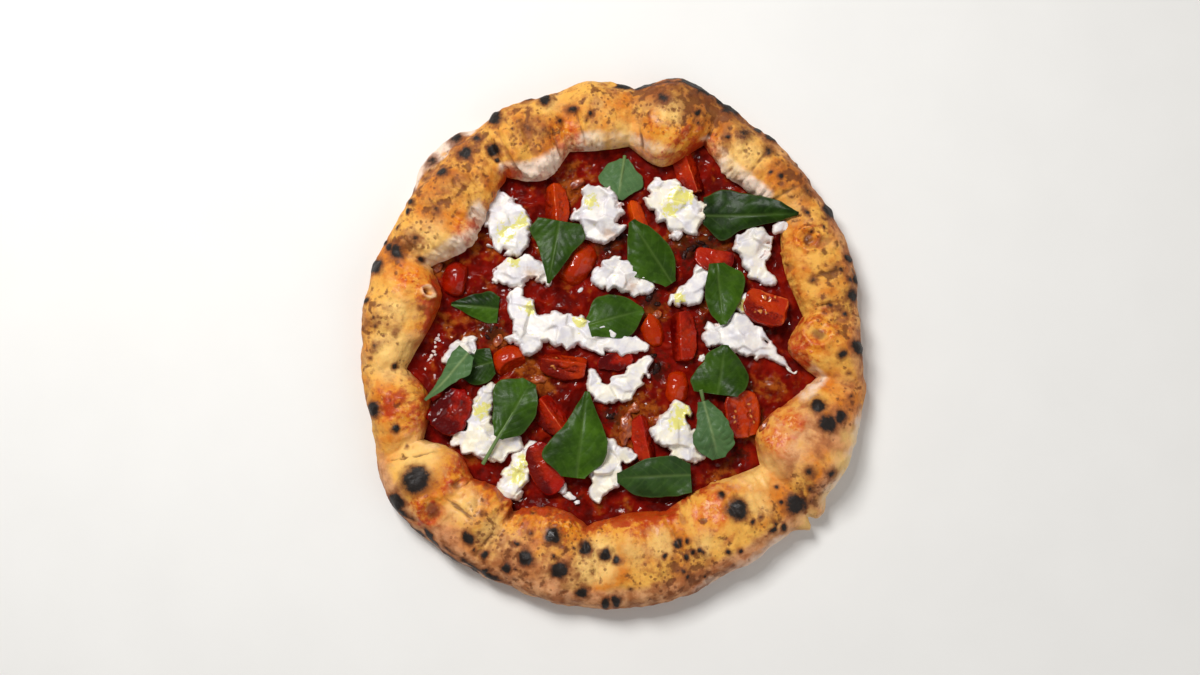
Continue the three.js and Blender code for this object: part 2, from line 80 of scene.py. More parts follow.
# Torn mozzarella: each piece is a few strands, and a strand is [x, y, half width] at points along it.
CURD_THICKNESS = 10.0
CURD_THINNEST = 3.5
CURD_FULLNESS = 0.55
CURDS = [
    [[[-71, 89, 7], [-69, 81, 13], [-66, 72, 15.5], [-63, 65, 10]]],
    [[[-68, 43, 7], [-62, 44, 11], [-54, 47, 8.5], [-45, 44, 6], [-40, 39, 3.5]]],
    [[[-9, 92, 6], [-9, 84, 15], [-6, 75, 12], [-4, 70, 7]], [[-22, 80, 4], [-14, 82, 7]]],
    [[[28, 98, 6], [35, 91, 13], [44, 83, 15], [49, 77, 9]]],
    [[[91, 68, 6], [90, 61, 12], [89, 52, 7.5], [93, 45, 6.5], [99, 40, 5]]],
    [[[104, 70.5, 3], [108, 72, 4.5], [114, 73, 2.5]]],
    [
        [[-60, 28, 6], [-57, 19, 9], [-54, 8, 11.5], [-51, 0, 8]],
        [[-52, 9, 9], [-36, 8, 11], [-22, 6, 10.5], [-8, 2, 8.5], [6, -1, 6.5], [20, -3, 4]],
    ],
    [[[-6, 41, 7], [3, 43, 11.5], [14, 38, 8], [23, 35, 4.5]]],
    [[[57, 50, 3.5], [56, 41, 6], [51, 31, 7.5], [42, 28, 6]]],
    [[[84, 26, 4.5], [81, 22, 3.5]]],
    [[[66, 4, 8.5], [76, 6, 13], [87, 0, 10.5], [98, -7, 5.5], [106, -12, 2.5], [112, -17, 1]]],
    [[[-103, -11, 4.5], [-97, -6, 6.5], [-90, -3, 5.5]]],
    [
        [[-76, -29, 4], [-82, -39, 6.5], [-83, -50, 9], [-82, -60, 12]],
        [[-96, -62, 5], [-85, -62, 13], [-72, -65, 11], [-62, -65, 6]],
    ],
    [[[-50, -66, 4], [-55, -74, 7], [-60, -84, 9.5], [-64, -93, 8.5]]],
    [[[-4, -66, 6.5], [-2, -75, 9], [-5, -84, 12], [-8, -91, 8]], [[0, -72, 6], [11, -72, 4.5]]],
    [[[-41, -89, 2.5], [-36, -90.5, 3.8], [-31, -92, 3]]],
    [[[-12, -20, 3.5], [-11, -29, 6.5], [-3, -32, 8], [7, -30, 8.5], [15, -22, 7.5], [22, -12, 4.5]]],
    [[[42, -46, 8], [39, -56, 12.5], [44, -65, 10], [52, -72, 5.5]]],
]

# Cut cherry tomatoes. Each trim is a direction, seen along the tomato with its skin down, and how far it
# still reaches that way. ripe is how red one is, from orange 0 to dark red 1, gel how wet its hollows are,
# rim how pale its edges are and seeds how many show. dark_to is the direction towards which painted
# shade darkens the flesh, shade how dark it is all over, and wrinkles how deep it is creased.
TOMATO_SINK = 2.2
DOME_SINK = 1.0
TOMATO_FULLNESS = 2.6
TOMATOES = [
    {"at": (-36, 87), "heading": 95, "length": 29, "width": 23, "cut": "wedge", "roll": -8, "ripe": 0.6,
     "gel": 0.5, "rim": 1.0, "dark_to": 200},
    {"at": (50, 109), "heading": 108, "length": 32, "width": 23, "cut": "wedge", "roll": 12, "ripe": 0.85,
     "trims": [(-1, 0, 0, 14.5)], "gel": 0.5, "rim": 1.0, "dark_to": -30},
    {"at": (-99, 40), "heading": 80, "length": 22, "width": 18, "cut": "dome", "roll": 8, "ripe": 0.8,
     "trims": [(0, -1, 0.2, 6)], "dark_to": 160},
    {"at": (-22, 50), "heading": 54, "length": 29, "width": 20, "cut": "dome", "roll": 0, "ripe": 0.35,
     "rim": 0.0},
    {"at": (15, 75), "heading": 104, "length": 31, "width": 17, "cut": "wedge", "roll": -20, "ripe": 0.2,
     "rim": 0.0},
    {"at": (65, 53), "heading": -10, "length": 25, "width": 17, "cut": "half", "roll": -12, "ripe": 0.85,
     "trims": [(0, 1, 0.3, 5.5)], "rim": 0.3, "dark_to": -60},
    {"at": (98, 22), "heading": -18, "length": 30, "width": 25, "cut": "half", "roll": -16, "ripe": 0.6,
     "seeds": 5, "trims": [(0, 1, 0.3, 8.5), (1, 0, 0.2, 12)], "gel": 1.0, "rim": 1.0, "dark_to": 215},
    {"at": (43, 3), "heading": 92, "length": 36, "width": 25, "cut": "wedge", "roll": -14, "ripe": 0.85,
     "trims": [(1, 0.2, 0, 15.5), (-1, 0, 0, 15.5)], "rim": 0.5, "dark_to": 175, "shade": 0.2},
    {"at": (25, 8), "heading": 112, "length": 23, "width": 14, "cut": "dome", "roll": 0, "ripe": 0.2,
     "trims": [(1, 0.8, 0.2, 7)], "rim": 0.0},
    {"at": (-65, -12), "heading": 24, "length": 21, "width": 19, "cut": "dome", "roll": 0, "ripe": 0.15,
     "trims": [(0.1, -1, 0.7, 6)], "rim": 0.0, "dark_to": 300},
    {"at": (-30, -13), "heading": -7, "length": 33, "width": 25, "cut": "wedge", "roll": -20, "ripe": 0.7,
     "seeds": 3, "trims": [(1, 0, 0, 14), (-1, 0.2, 0, 14)], "gel": 1.0, "rim": 0.5, "dark_to": 190},
    {"at": (2, -13), "heading": 16, "length": 23, "width": 13, "cut": "half", "roll": 12, "ripe": 0.9,
     "trims": [(-0.5, -1, 0, 6)], "rim": 0.4, "dark_to": 220, "shade": 0.4},
    {"at": (-101, -44), "heading": 62, "length": 29, "width": 26, "cut": "half", "roll": 6, "ripe": 1.0,
     "trims": [(0.3, 1, 0, 10.5)], "gel": 0.1, "rim": 0.1, "dark_to": 180, "wrinkles": 0.8, "shade": 0.5},
    {"at": (-38, -46), "heading": 126, "length": 28, "width": 26, "cut": "wedge", "roll": 10, "ripe": 0.9,
     "trims": [(1, 0, 0, 12)], "gel": 0.5, "rim": 1.0, "dark_to": 215},
    {"at": (21, -62), "heading": 102, "length": 31, "width": 21, "cut": "wedge", "roll": 14, "ripe": 0.9,
     "trims": [(-1, 0, 0, 13)], "gel": 0.6, "rim": 0.8, "dark_to": -10},
    {"at": (82, -46), "heading": 93, "length": 32, "width": 23, "cut": "half", "roll": 14, "ripe": 0.5,
     "seeds": 5, "trims": [(1, 0, 0, 14.5), (-1, -0.3, 0, 14.5)], "gel": 0.8, "rim": 1.0, "dark_to": 190},
    {"at": (-42, -80), "heading": 112, "length": 34, "width": 20, "cut": "half", "roll": -8, "ripe": 0.9,
     "gel": 0.2, "rim": 0.2, "dark_to": 200, "shade": 0.2},
    {"at": (41, -29), "heading": 84, "length": 21, "width": 15, "cut": "dome", "roll": 0, "ripe": 0.2,
     "rim": 0.3, "dark_to": 180},
]

# Basil leaves. left and right are half widths at six even steps from base to tip. tones run from bright 0 to
# dark 1 on the left and right side. under says how much of the pale underside shows, and crumpled how deep
# that is folded. stem is how far a bare stalk stands out, and stem_to how far up the midrib it runs.
LEAF_THICKNESS = 0.9
LEAF_STEPS = 7
LEAF_ACROSS = [-1, -0.5, 0, 0.5, 1]
STALK_WIDTH = 2.2
LEAVES = [
    {"base": (8, 118), "tip": (4, 91), "left": [3, 8, 13, 14, 9, 3], "right": [3, 11, 14, 14, 9, 2],
     "stem": 2, "stem_to": 0.85, "under": 1.0, "tones": (0.3, 0.3)},
    {"base": (-33, 76), "tip": (-40, 36), "left": [14, 18, 13, 9, 5, 1], "right": [14, 18, 12, 8, 4, 1],
     "tones": (0.7, 0.55)},
    {"base": (38, 37), "tip": (12, 76), "left": [5, 12, 19, 15, 9, 2], "right": [3, 9, 12, 11, 8, 3],
     "tones": (0.5, 0.6)},
    {"base": (58, 80), "tip": (117, 79), "left": [12, 17, 15, 12, 8, 1], "right": [6, 16, 9, 6, 4, 1],
     "tones": (0.95, 0.85)},
    {"base": (-72, 21), "tip": (-102, 24), "left": [9, 10, 8, 6, 3, 1], "right": [8, 11, 9, 7, 4, 1],
     "tones": (0.25, 0.95)},
    {"base": (-15, 10), "tip": (20, 20), "left": [5, 14, 16, 14, 10, 2], "right": [8, 10, 13, 14, 10, 2],
     "tones": (0.55, 0.4)},
    {"base": (66, 49), "tip": (70, 10), "left": [5, 16, 16, 13, 8, 2], "right": [5, 7, 9, 9, 7, 2],
     "tones": (0.3, 0.4)},
    {"base": (-75, -13), "tip": (-96, -18), "left": [8, 11, 12, 12, 10, 5], "right": [9, 10, 10, 9, 8, 4],
     "tones": (0.85, 0.8)},
    {"base": (-90, -8), "tip": (-116, -38), "left": [5, 9, 7, 5, 3, 1], "right": [8, 8, 6, 4, 2, 1],
     "under": 1.0, "tones": (0.4, 0.4)},
    {"base": (-71, -61), "tip": (-51, -26), "left": [3, 9, 13, 18, 17, 6], "right": [3, 11, 13, 13, 10, 4],
     "stem": 19, "tones": (0.45, 0.55)},
    {"base": (-22, -86), "tip": (-16, -32), "left": [10, 23, 19, 11, 6, 1], "right": [5, 15, 17, 13, 7, 2],
     "tones": (0.55, 0.35)},
    {"base": (66, -34), "tip": (71, -3), "left": [15, 18, 16, 12, 10, 2], "right": [12, 17, 18, 15, 9, 2],
     "tones": (0.5, 0.6)},
    {"base": (57, -38), "tip": (66, -74), "left": [3, 8, 11, 12, 13, 5], "right": [4, 6, 9, 13, 11, 4],
     "stem": 7, "under": 0.8, "crumpled": 2.4, "tones": (0.5, 0.9)},
    {"base": (49, -84), "tip": (3, -86), "left": [11, 13, 13, 13, 10, 3], "right": [7, 12, 12, 11, 7, 3],
     "under": 0.15, "tones": (0.75, 0.8)},
]

# ---------- what shows on the baked dough ----------

# Charred spots on the crust: [x, y, radius, how black].
CHARS = np.array([
    [-119.6, -87.3, 8, 1], [-133, -101, 5.5, 1], [-133.7, -55.7, 2.5, 0.9], [-148, -43.8, 4.5, 1],
    [-136, -16.6, 2, 0.8], [-127, -67.5, 1.6, 0.6], [-88, -122, 4, 0.9], [-78, -133, 3, 0.9],
    [-52.8, -134.3, 4.5, 1], [-64.7, -140.5, 3, 0.9], [-36.4, -121.3, 4.5, 1], [-16.6, -128.6, 4, 1],
    [-32.5, -142.2, 5, 1], [-4.2, -132.6, 3.5, 1], [2.6, -136, 3, 0.9], [-18.9, -155.8, 4, 0.9],
    [2.6, -160.3, 3.5, 0.9], [-4.2, -162, 3, 0.9], [76.7, -105.4, 6, 1], [112.9, -102, 6, 1],
    [126.5, -41.5, 4.5, 1], [132.7, -52.8, 5.5, 1], [140.7, -48.8, 4, 0.9], [121.4, -82.2, 3.5, 0.7],
    [122, -92.3, 3, 0.6], [101.6, -91.8, 2, 0.8], [67, -96.3, 2.5, 0.8], [40.5, -126, 2.6, 1],
    [153, -5.3, 4.5, 1], [142.3, -9.8, 3, 0.8], [133.8, -83.3, 4, 0.7], [98.8, -117.8, 2.5, 0.9],
    [105.5, -116.7, 2.5, 0.9], [70.5, -131.4, 2.5, 0.8], [53.5, -130.3, 2, 0.8], [78.4, -130.3, 2, 0.8],
    [85.2, -112.5, 2, 0.8], [43, -143, 2.6, 0.7], [46, -147, 2.4, 0.7], [76.2, 149.3, 7.5, 0.9],
    [53.5, 142.5, 2.5, 0.9], [82.9, 129.5, 6, 0.6], [72.8, 128.4, 3, 0.7], [101, 128.4, 5, 0.8],
    [98.8, 119.3, 4, 0.7], [93, 134, 3, 0.8], [100.4, 105, 1.6, 0.8], [105.6, 103.5, 2, 0.8],
    [122.5, 93.3, 5, 0.6], [136.7, 82, 4.5, 1], [148.5, 51.5, 3, 0.9], [153, 37.9, 3.5, 0.9],
    [150.8, 27.7, 5, 0.8], [125.4, 37.3, 3, 0.6], [138.4, 43.5, 4, 0.6], [142.3, 17.5, 4, 0.55],
    [32, 152, 5, 0.7], [-42.6, 151.9, 4.5, 0.9], [-54, 154.4, 4, 0.9], [-73.8, 140.8, 5, 1],
    [-74.3, 119.9, 4, 1], [-92.4, 118.8, 5, 0.9], [-85, 127.3, 4, 0.7], [-107, 105.2, 3.5, 0.9],
    [-117.3, 117.1, 5.5, 0.9], [-100.3, 131.8, 5.5, 0.9], [-135.4, 55.4, 5, 0.9], [-149, 47, 5, 1],
    [-141, 59.4, 3, 0.9], [-124, 62.8, 4, 0.6], [-110, 80.9, 4, 0.6], [-129, 81.4, 1.8, 0.9],
    [-25, 145.4, 4, 0.7], [-13.8, 143, 2, 0.8], [-33, 137.4, 3, 0.7], [-53, 133, 6, 0.55],
    [-44, 130, 5, 0.5], [66, 158, 7, 0.65], [56, 158, 6, 0.6], [40, 160, 5, 0.5], [84, 150, 6, 0.55],
    [-148, -5, 4, 0.6], [-134, 4, 3, 0.5], [-151, 10, 4, 0.5], [-120, 20, 2.5, 0.5], [-128, 97, 4, 0.8],
    [-133, 90, 4, 0.7],
])

# Stains of tomato and oil on the crust: [x, y, radius, how red].
STAINS = np.array([
    [122, 62.8, 7, 0.1], [128, 3, 11, 0.15], [120, -7, 8, 0.6], [-125, 35, 9, 0.3], [-115.6, 28, 8, 0.7],
    [-94.7, 71.8, 5, 0.5], [-66, 104, 5, 0.5], [-30, 128, 8, 0.2], [-136.5, -41.5, 8, 0.8],
    [-122, -52, 10, 0.6], [-98, -84, 11, 0.6], [-115, -104, 8, 0.6], [10, 130, 8, 0.0], [45, 128, 9, 0.5],
    [33, 133, 8, 0.3], [-108, 0, 8, 0.5], [-112, 20, 6, 0.4], [22, -112, 13, 0.6], [40, -112, 10, 0.0],
    [60, -106, 10, 0.15], [78, -96, 8, 0.0], [-30, -112, 12, 0.5], [-66, -108, 10, 0.1], [100, -62, 8, 0.2],
    [108, -52, 7, 0.1], [88, -84, 7, 0.1], [-85, -100, 10, 0.5], [62, 124, 6, 0.2],
])

# Angles between which tomato has been rubbed up the inner side of the rim: [from, to, how strongly].
SMEARS = [
    [160, 200, 0.8], [222, 262, 0.75], [262, 291, 0.85], [291, 304, 0.45], [316, 340, 0.3], [62, 78, 0.5],
    [0, 30, 0.35], [120, 134, 0.4], [78, 92, 0.3],
]
# Angles between which the inner side of the rim stayed pale.
PALE_WALLS = [
    [42, 66, 1.0], [92, 124, 1.0], [70, 92, 0.5], [134, 158, 1.0], [342, 358, 0.6], [202, 212, 0.7],
    [300, 338, 0.25],
]

# Angles of the lips of pale bottom dough, and those between which the outer edge is dusted with flour.
FLOURY_LIPS = [[121, 146, 1.0], [313, 322, 0.7]]
DUSTED_EDGES = [[322, 344, 0.8], [286, 313, 0.6], [230, 246, 0.4]]
# Angles between which the dough is drawn into pleats.
PLEATED = [
    [282, 302, 1.0], [236, 250, 0.6], [92, 124, 0.7], [134, 158, 0.7], [40, 66, 0.7], [304, 318, 0.7],
    [18, 34, 0.6], [344, 358, 0.7], [180, 192, 0.6],
]

# Cracks and deep folds in the dough: end points, width and depth.
CRACKS = [
    ((-140, -76), (-108, -69), 0.7, 2.2), ((-12, -126), (-10, -152), 0.7, 1.4),
    ((58, 124), (65, 137), 0.8, 1.9), ((20, 119), (17, 135), 1.0, 1.6), ((88, -111), (100, -124), 0.6, 0.8),
    ((36, -116), (44, -134), 0.9, 1.4), ((30, -108), (42, -128), 0.8, 1.2),
    ((-103, -98), (-84, -112), 1.1, 2.0), ((-84, -112), (-82, -92), 0.9, 1.2),
    ((118, -24), (146, -28), 0.9, 1.2), ((110, 62), (124, 76), 0.7, 1.0),
    ((-57, 112), (-50, 124), 0.7, 1.0), ((-10, -150), (-6, -128), 0.5, 0.9),
    ((-120, 54), (-134, 66), 1.2, 1.6), ((-112, 56), (-122, 70), 0.8, 1.0),
    ((-108, 60), (-114, 74), 0.7, 0.8), ((-128, 45), (-140, 30), 0.8, 1.0),
    ((126, 20), (146, 24), 0.9, 1.4), ((123, 38), (146, 44), 1.1, 1.8),
    ((-72, -118), (-84, -134), 1.0, 1.6), ((70, -100), (84, -124), 0.9, 1.2),
    ((-60, 128), (-72, 146), 0.9, 1.2), ((-16, 124), (-24, 146), 1.0, 1.4),
    ((98, 86), (122, 100), 1.0, 1.5), ((84, 102), (100, 122), 1.0, 1.6),
]

# Where the dough is thick with small brown freckles: [x, y, radius, how thick].
SPECKLES = np.array([
    [-50, 131, 16, 1.0], [117, 105, 16, 1.0], [142, 17, 16, 0.9], [-105, 100, 26, 0.9], [-92, 122, 20, 0.9],
    [-132, 62, 18, 0.7], [-144, 10, 18, 0.7], [-132, -28, 18, 0.5], [48, -148, 22, 1.0],
    [22, -140, 18, 0.6], [-30, -132, 24, 0.8], [-70, -128, 22, 0.8], [-5, -118, 12, 0.5],
    [95, -112, 16, 0.5], [124, -94, 14, 0.8], [146, -40, 14, 0.6], [148, 40, 18, 0.7], [130, 75, 18, 0.7],
    [78, 140, 22, 0.8], [30, 148, 22, 0.7], [-10, 150, 20, 0.6], [52, 156, 18, 1.7], [28, 158, 14, 1.5],
    [74, 147, 16, 1.6], [-80, -108, 12, 0.5], [-116, 70, 14, 0.5], [-50, 113, 9, 0.6], [-62, -140, 14, 1.2],
])

# Small burnt freckles scattered where the dough is speckled. Each is drawn between a least and a most:
# [angle, radius at which it lies, own radius, how black, how thick the freckles must be there].
FRECKLE_TRIES = 420
FRECKLE_SEED = 12
FRECKLE_LEAST = (0, 116, 1.0, 0.45, 0.15)
FRECKLE_MOST = (2 * np.pi, 164, 2.4, 0.85, 1.3)

# Where stretched dough stayed creamy: [x, y, radius, how creamy].
CREAM = np.array([
    [-90, -103, 10, 1], [-119, -73, 15, 1], [-9, -137, 10, 1.6], [-74, -118, 12, 0.8], [90, -84, 11, 1],
    [89, -101, 9, 0.9], [57, -126, 8, 0.8], [12, -130, 9, 0.8], [24, 147, 7, 0.7], [37, 143, 8, 1.3],
    [82, 119, 12, 1], [110, 82, 9, 0.8], [-139, -13, 11, 1], [-130, -20, 8, 0.8], [-134, 17, 11, 0.9],
    [-64, 127, 8, 0.3], [-39, 150, 8, 0.8], [-87, 87, 12, 0.4], [-115, 62, 12, 1], [-8, 148, 8, 0.6],
    [-142, 12, 16, 0.6], [-136, -9, 14, 1.2], [136, -100, 8, 0.9], [143, -78, 8, 0.9], [148, -62, 8, 0.8],
    [122, -112, 8, 0.8], [120, 40, 8, 0.2], [130, 52, 7, 0.3], [8, 132, 9, 0.7], [-10, 128, 8, 0.7],
    [-25, -150, 8, 0.5], [30, -126, 8, 1.1],
])

# Knots where pinched dough stands up in a ring: [x, y, radius, height, how pale].
KNOTS = [
    [122, 62.8, 6.5, 2.2, 0], [128, 3, 8, 1.6, 0], [-115.6, 30, 3.2, 2.6, 0.5], [-96, -91, 5, 1.2, 0],
    [-110, -106, 9, 1.2, 0],
]

# Angles between which the outer edge is charred, and those where the outer side is pink-tan.
EDGE_CHARS = [[62, 92, 1.0], [213, 246, 0.9], [252, 300, 0.45], [176, 206, 0.3], [100, 118, 0.4]]
TAN_SIDES = [[205, 345, 1.0], [-15, 60, 0.7], [60, 120, 0.35], [120, 205, 0.3]]
# Where the same pink-tan reaches up on to the rim: [x, y, radius, how strong].
TAN_SPOTS = np.array([
    [130, -35, 20, 0.2], [146, -30, 9, 0.6], [118, -58, 16, 0.9], [140, -60, 14, 0.9], [108, -68, 14, 1.0],
    [-146, 2, 14, 0.3], [-104, -124, 16, 0.9], [-62, -140, 18, 0.9], [-36, -150, 16, 0.9],
    [-92, -128, 16, 0.6], [60, -142, 12, 0.5], [138, 60, 12, 0.5],
])

# The lip's curled end and the little notch beside it: [angle, half width in degrees, how far it sticks out].
NOTCHES = [[318.0, 0.6, -5.0], [316.2, 0.55, 1.6]]
NOTCH_TOP = 20.0

# ---------- what shows in the sauce ----------

# Brown-orange lumps of pulp: [x, y, radius, how brown].
PULP = np.array([
    [-24, 101, 9, 1], [-112, 48, 7, 0.8], [53, 69, 8, 0.9], [72, 60, 6, 0.9], [27, 19, 6, 1],
    [-73, 3, 7, 1], [-56, -21, 8, 1], [-46, -27, 8, 0.8], [96, -54, 9, 1], [13, -44, 8, 1], [9, -54, 8, 1],
    [-90, 4, 8, 0.7], [-83, 60, 7, 0.7], [-8, 62, 7, 0.8], [84, 92, 8, 0.6], [100, -30, 8, 0.6],
    [-20, -58, 7, 0.7], [70, -84, 8, 0.5], [2, -102, 8, 0.5], [-96, -74, 7, 0.5], [30, 62, 6, 0.9],
    [-104, 14, 7, 0.5], [62, 26, 5, 0.7], [30, -50, 7, 0.8], [48, 64, 6, 1], [-45, 62, 6, 0.6],
    [74, 36, 5, 0.7], [22, -38, 6, 0.8],
])
# Where the sauce is dark: [x, y, radius, how dark].
DARK_SAUCE = np.array([
    [51, 59, 9, 1], [-3, 60, 6, 1], [24, 28, 7, 1], [28, -17, 7, 1], [-76, 8, 7, 1], [0, -47, 7, 0.9],
    [5, 66, 6, 1], [-88, -14, 7, 0.7], [20, 60, 6, 0.8], [64, 66, 8, 0.9], [96, 8, 8, 0.6],
    [62, -50, 8, 0.7], [-22, -98, 9, 0.6], [-56, 56, 7, 0.6], [58, 10, 6, 0.8], [-18, -40, 6, 0.7],
    [78, -70, 9, 0.7],
])

# ---------- random swellings ----------

NOISE_SIZE = 256
_draw = np.random.default_rng(7)
NOISE_ORDER = _draw.permutation(NOISE_SIZE)
NOISE_SLOPES = _draw.normal(size=(NOISE_SIZE, 3))
NOISE_SLOPES /= np.linalg.norm(NOISE_SLOPES, axis=1, keepdims=True)
NOISE_GAIN = 1.7  # brings gradient noise to about -1 to 1


def noise(points, size, seed=0):
    """Gradient noise with swellings of a size: at each corner of the cell that a point lies in, a random
    slope times the way to the point, blended by 6t^5 - 15t^4 + 10t^3 along each axis."""
    place = points / size + seed * 17.31
    corner = np.floor(place).astype(np.int64)
    offset = place - corner
    ease = offset ** 3 * (offset * (offset * 6 - 15) + 10)
    total = np.zeros(points.shape[:-1])
    for step in np.ndindex(2, 2, 2):
        key = 0
        for axis in range(3):
            key = NOISE_ORDER[(key + corner[..., axis] + step[axis]) % NOISE_SIZE]
        rise = ((offset - step) * NOISE_SLOPES[key]).sum(-1)
        weight = np.where(np.array(step) == 1, ease, 1 - ease).prod(-1)
        total += weight * rise
    return total * NOISE_GAIN


def plan_noise(x, y, size, seed=0):
    """Noise over the plan."""
    return noise(np.stack([x, y, np.zeros_like(x)], -1), size, seed)


def smooth(value, low, high):
    """0 at low, 1 at high, and 3t^2 - 2t^3 between them."""
    t = np.clip((value - low) / (high - low), 0, 1)
    return t * t * (3 - 2 * t)


# ---------- shapes ----------

class Shape:
    """Points in millimetres, faces as rows of point numbers, and named values at the points."""

    def __init__(self, points, faces, marks):
        self.points = np.asarray(points, float)
        self.faces = faces
        self.marks = marks


def together(shapes):
    """Several shapes as one, with their face numbers moved on."""
    start = np.cumsum([0] + [len(s.points) for s in shapes])
    faces = [f + n for s, n in zip(shapes, start) for f in s.faces]
    marks = {key: np.concatenate([s.marks[key] for s in shapes]) for key in shapes[0].marks}
    return Shape(np.concatenate([s.points for s in shapes]), faces, marks)


def closed_rows(rows, marks):
    """A closed body from rows of points that each run round it, with a point at the middle of the first
    and of the last row. The faces look outwards where (round x onwards) does."""
    count, round_ = rows.shape[:2]
    index = np.arange(count * round_).reshape(count, round_)
    after = np.roll(index, -1, 1)
    quads = np.stack([index[:-1], after[:-1], after[1:], index[1:]], -1).reshape(-1, 4)
    first, last = count * round_, count * round_ + 1
    start_fan = np.stack([after[0], index[0], np.full(round_, first)], -1)
    end_fan = np.stack([index[-1], after[-1], np.full(round_, last)], -1)
    points = np.concatenate([rows.reshape(-1, 3), rows[:1].mean(1), rows[-1:].mean(1)])
    values = {key: np.concatenate([v.ravel(), [v[0].mean(), v[-1].mean()]]) for key, v in marks.items()}
    return Shape(points, [quads, start_fan, end_fan], values)


def row_normals(rows):
    """Unit normals of rows that run round a body."""
    across = np.roll(rows, -1, 1) - np.roll(rows, 1, 1)
    along = np.gradient(rows, axis=0)
    normal = np.cross(across, along)
    return normal / np.maximum(np.linalg.norm(normal, axis=-1, keepdims=True), 1e-9)


def even(rows, marks):
    """The same value of each mark all over some rows of points."""
    return {key: np.full(rows.shape[:2], float(value)) for key, value in marks.items()}


def ways_round(rows, columns, end):
    """Directions from a point, in rows round the X axis from -X to +X that stop short of both by a share."""
    theta = np.linspace(np.pi * (1 - end), np.pi * end, rows)[:, None]
    phi = (np.arange(columns) * 2 * np.pi / columns)[None, :]
    around = np.stack([np.ones_like(phi), np.cos(phi), np.sin(phi)], -1)
    return np.stack([np.cos(theta), np.sin(theta), np.sin(theta)], -1) * around


def turned(x, y, degrees):
    """A place turned anticlockwise about the origin."""
    turn = np.radians(degrees)
    return x * np.cos(turn) - y * np.sin(turn), x * np.sin(turn) + y * np.cos(turn)


def put(name, data):
    """A new object in the scene."""
    made = bpy.data.objects.new(name, data)
    bpy.context.scene.collection.objects.link(made)
    return made


def make_piece(name, shape, material, replaced=()):
    """A piece of the pizza in metres, smooth, riding on the body in place of the nodes it stands for."""
    mesh = bpy.data.meshes.new(name)
    mesh.vertices.add(len(shape.points))
    mesh.vertices.foreach_set("co", (shape.points * MM).astype(np.float32).ravel())
    corners = np.concatenate([f.ravel() for f in shape.faces])
    sides = np.concatenate([np.full(len(f), f.shape[1]) for f in shape.faces])
    mesh.loops.add(len(corners))
    mesh.loops.foreach_set("vertex_index", corners.astype(np.int32))
    mesh.polygons.add(len(sides))
    mesh.polygons.foreach_set("loop_start", (np.cumsum(sides) - sides).astype(np.int32))
    mesh.polygons.foreach_set("use_smooth", np.ones(len(sides), bool))
    mesh.update(calc_edges=True)
    for key, values in shape.marks.items():
        mark = mesh.attributes.new(key, "FLOAT", "POINT")
        mark.data.foreach_set("value", values.astype(np.float32))
    mesh.materials.append(material)
    piece = put(name, mesh)
    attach(piece, "root")
    if replaced:
        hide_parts(*replaced)


# ---------- materials ----------

CLOUD_ROUGHNESS = 0.55


def colour(red, green, blue):
    """A colour as seen on a screen, 0 to 255, as the light it stands for."""
    seen = np.array([red, green, blue]) / 255
    light = np.where(seen <= 0.04045, seen / 12.92, ((seen + 0.055) / 1.055) ** 2.4)
    return (*light.tolist(), 1.0)


class Amount:
    """A value over a surface. +, - and * on it add Math nodes."""

    def __init__(self, finish, socket):
        self.finish = finish
        self.socket = socket

    def math(self, operation, first, second):
        return self.finish.node("ShaderNodeMath", {"operation": operation}, {0: first, 1: second})

    def __add__(self, other):
        return self.math("ADD", self, other)

    __radd__ = __add__

    def __sub__(self, other):
        return self.math("SUBTRACT", self, other)

    def __rsub__(self, other):
        return self.math("SUBTRACT", other, self)

    def __mul__(self, other):
        return self.math("MULTIPLY", self, other)

    __rmul__ = __mul__

    def rise(self, low, high):
        """0 at low, 1 at high, smoothly."""
        return self.finish.node(
            "ShaderNodeMapRange", {"interpolation_type": "SMOOTHSTEP"},
            {"Value": self, "From Min": low, "From Max": high},
        )


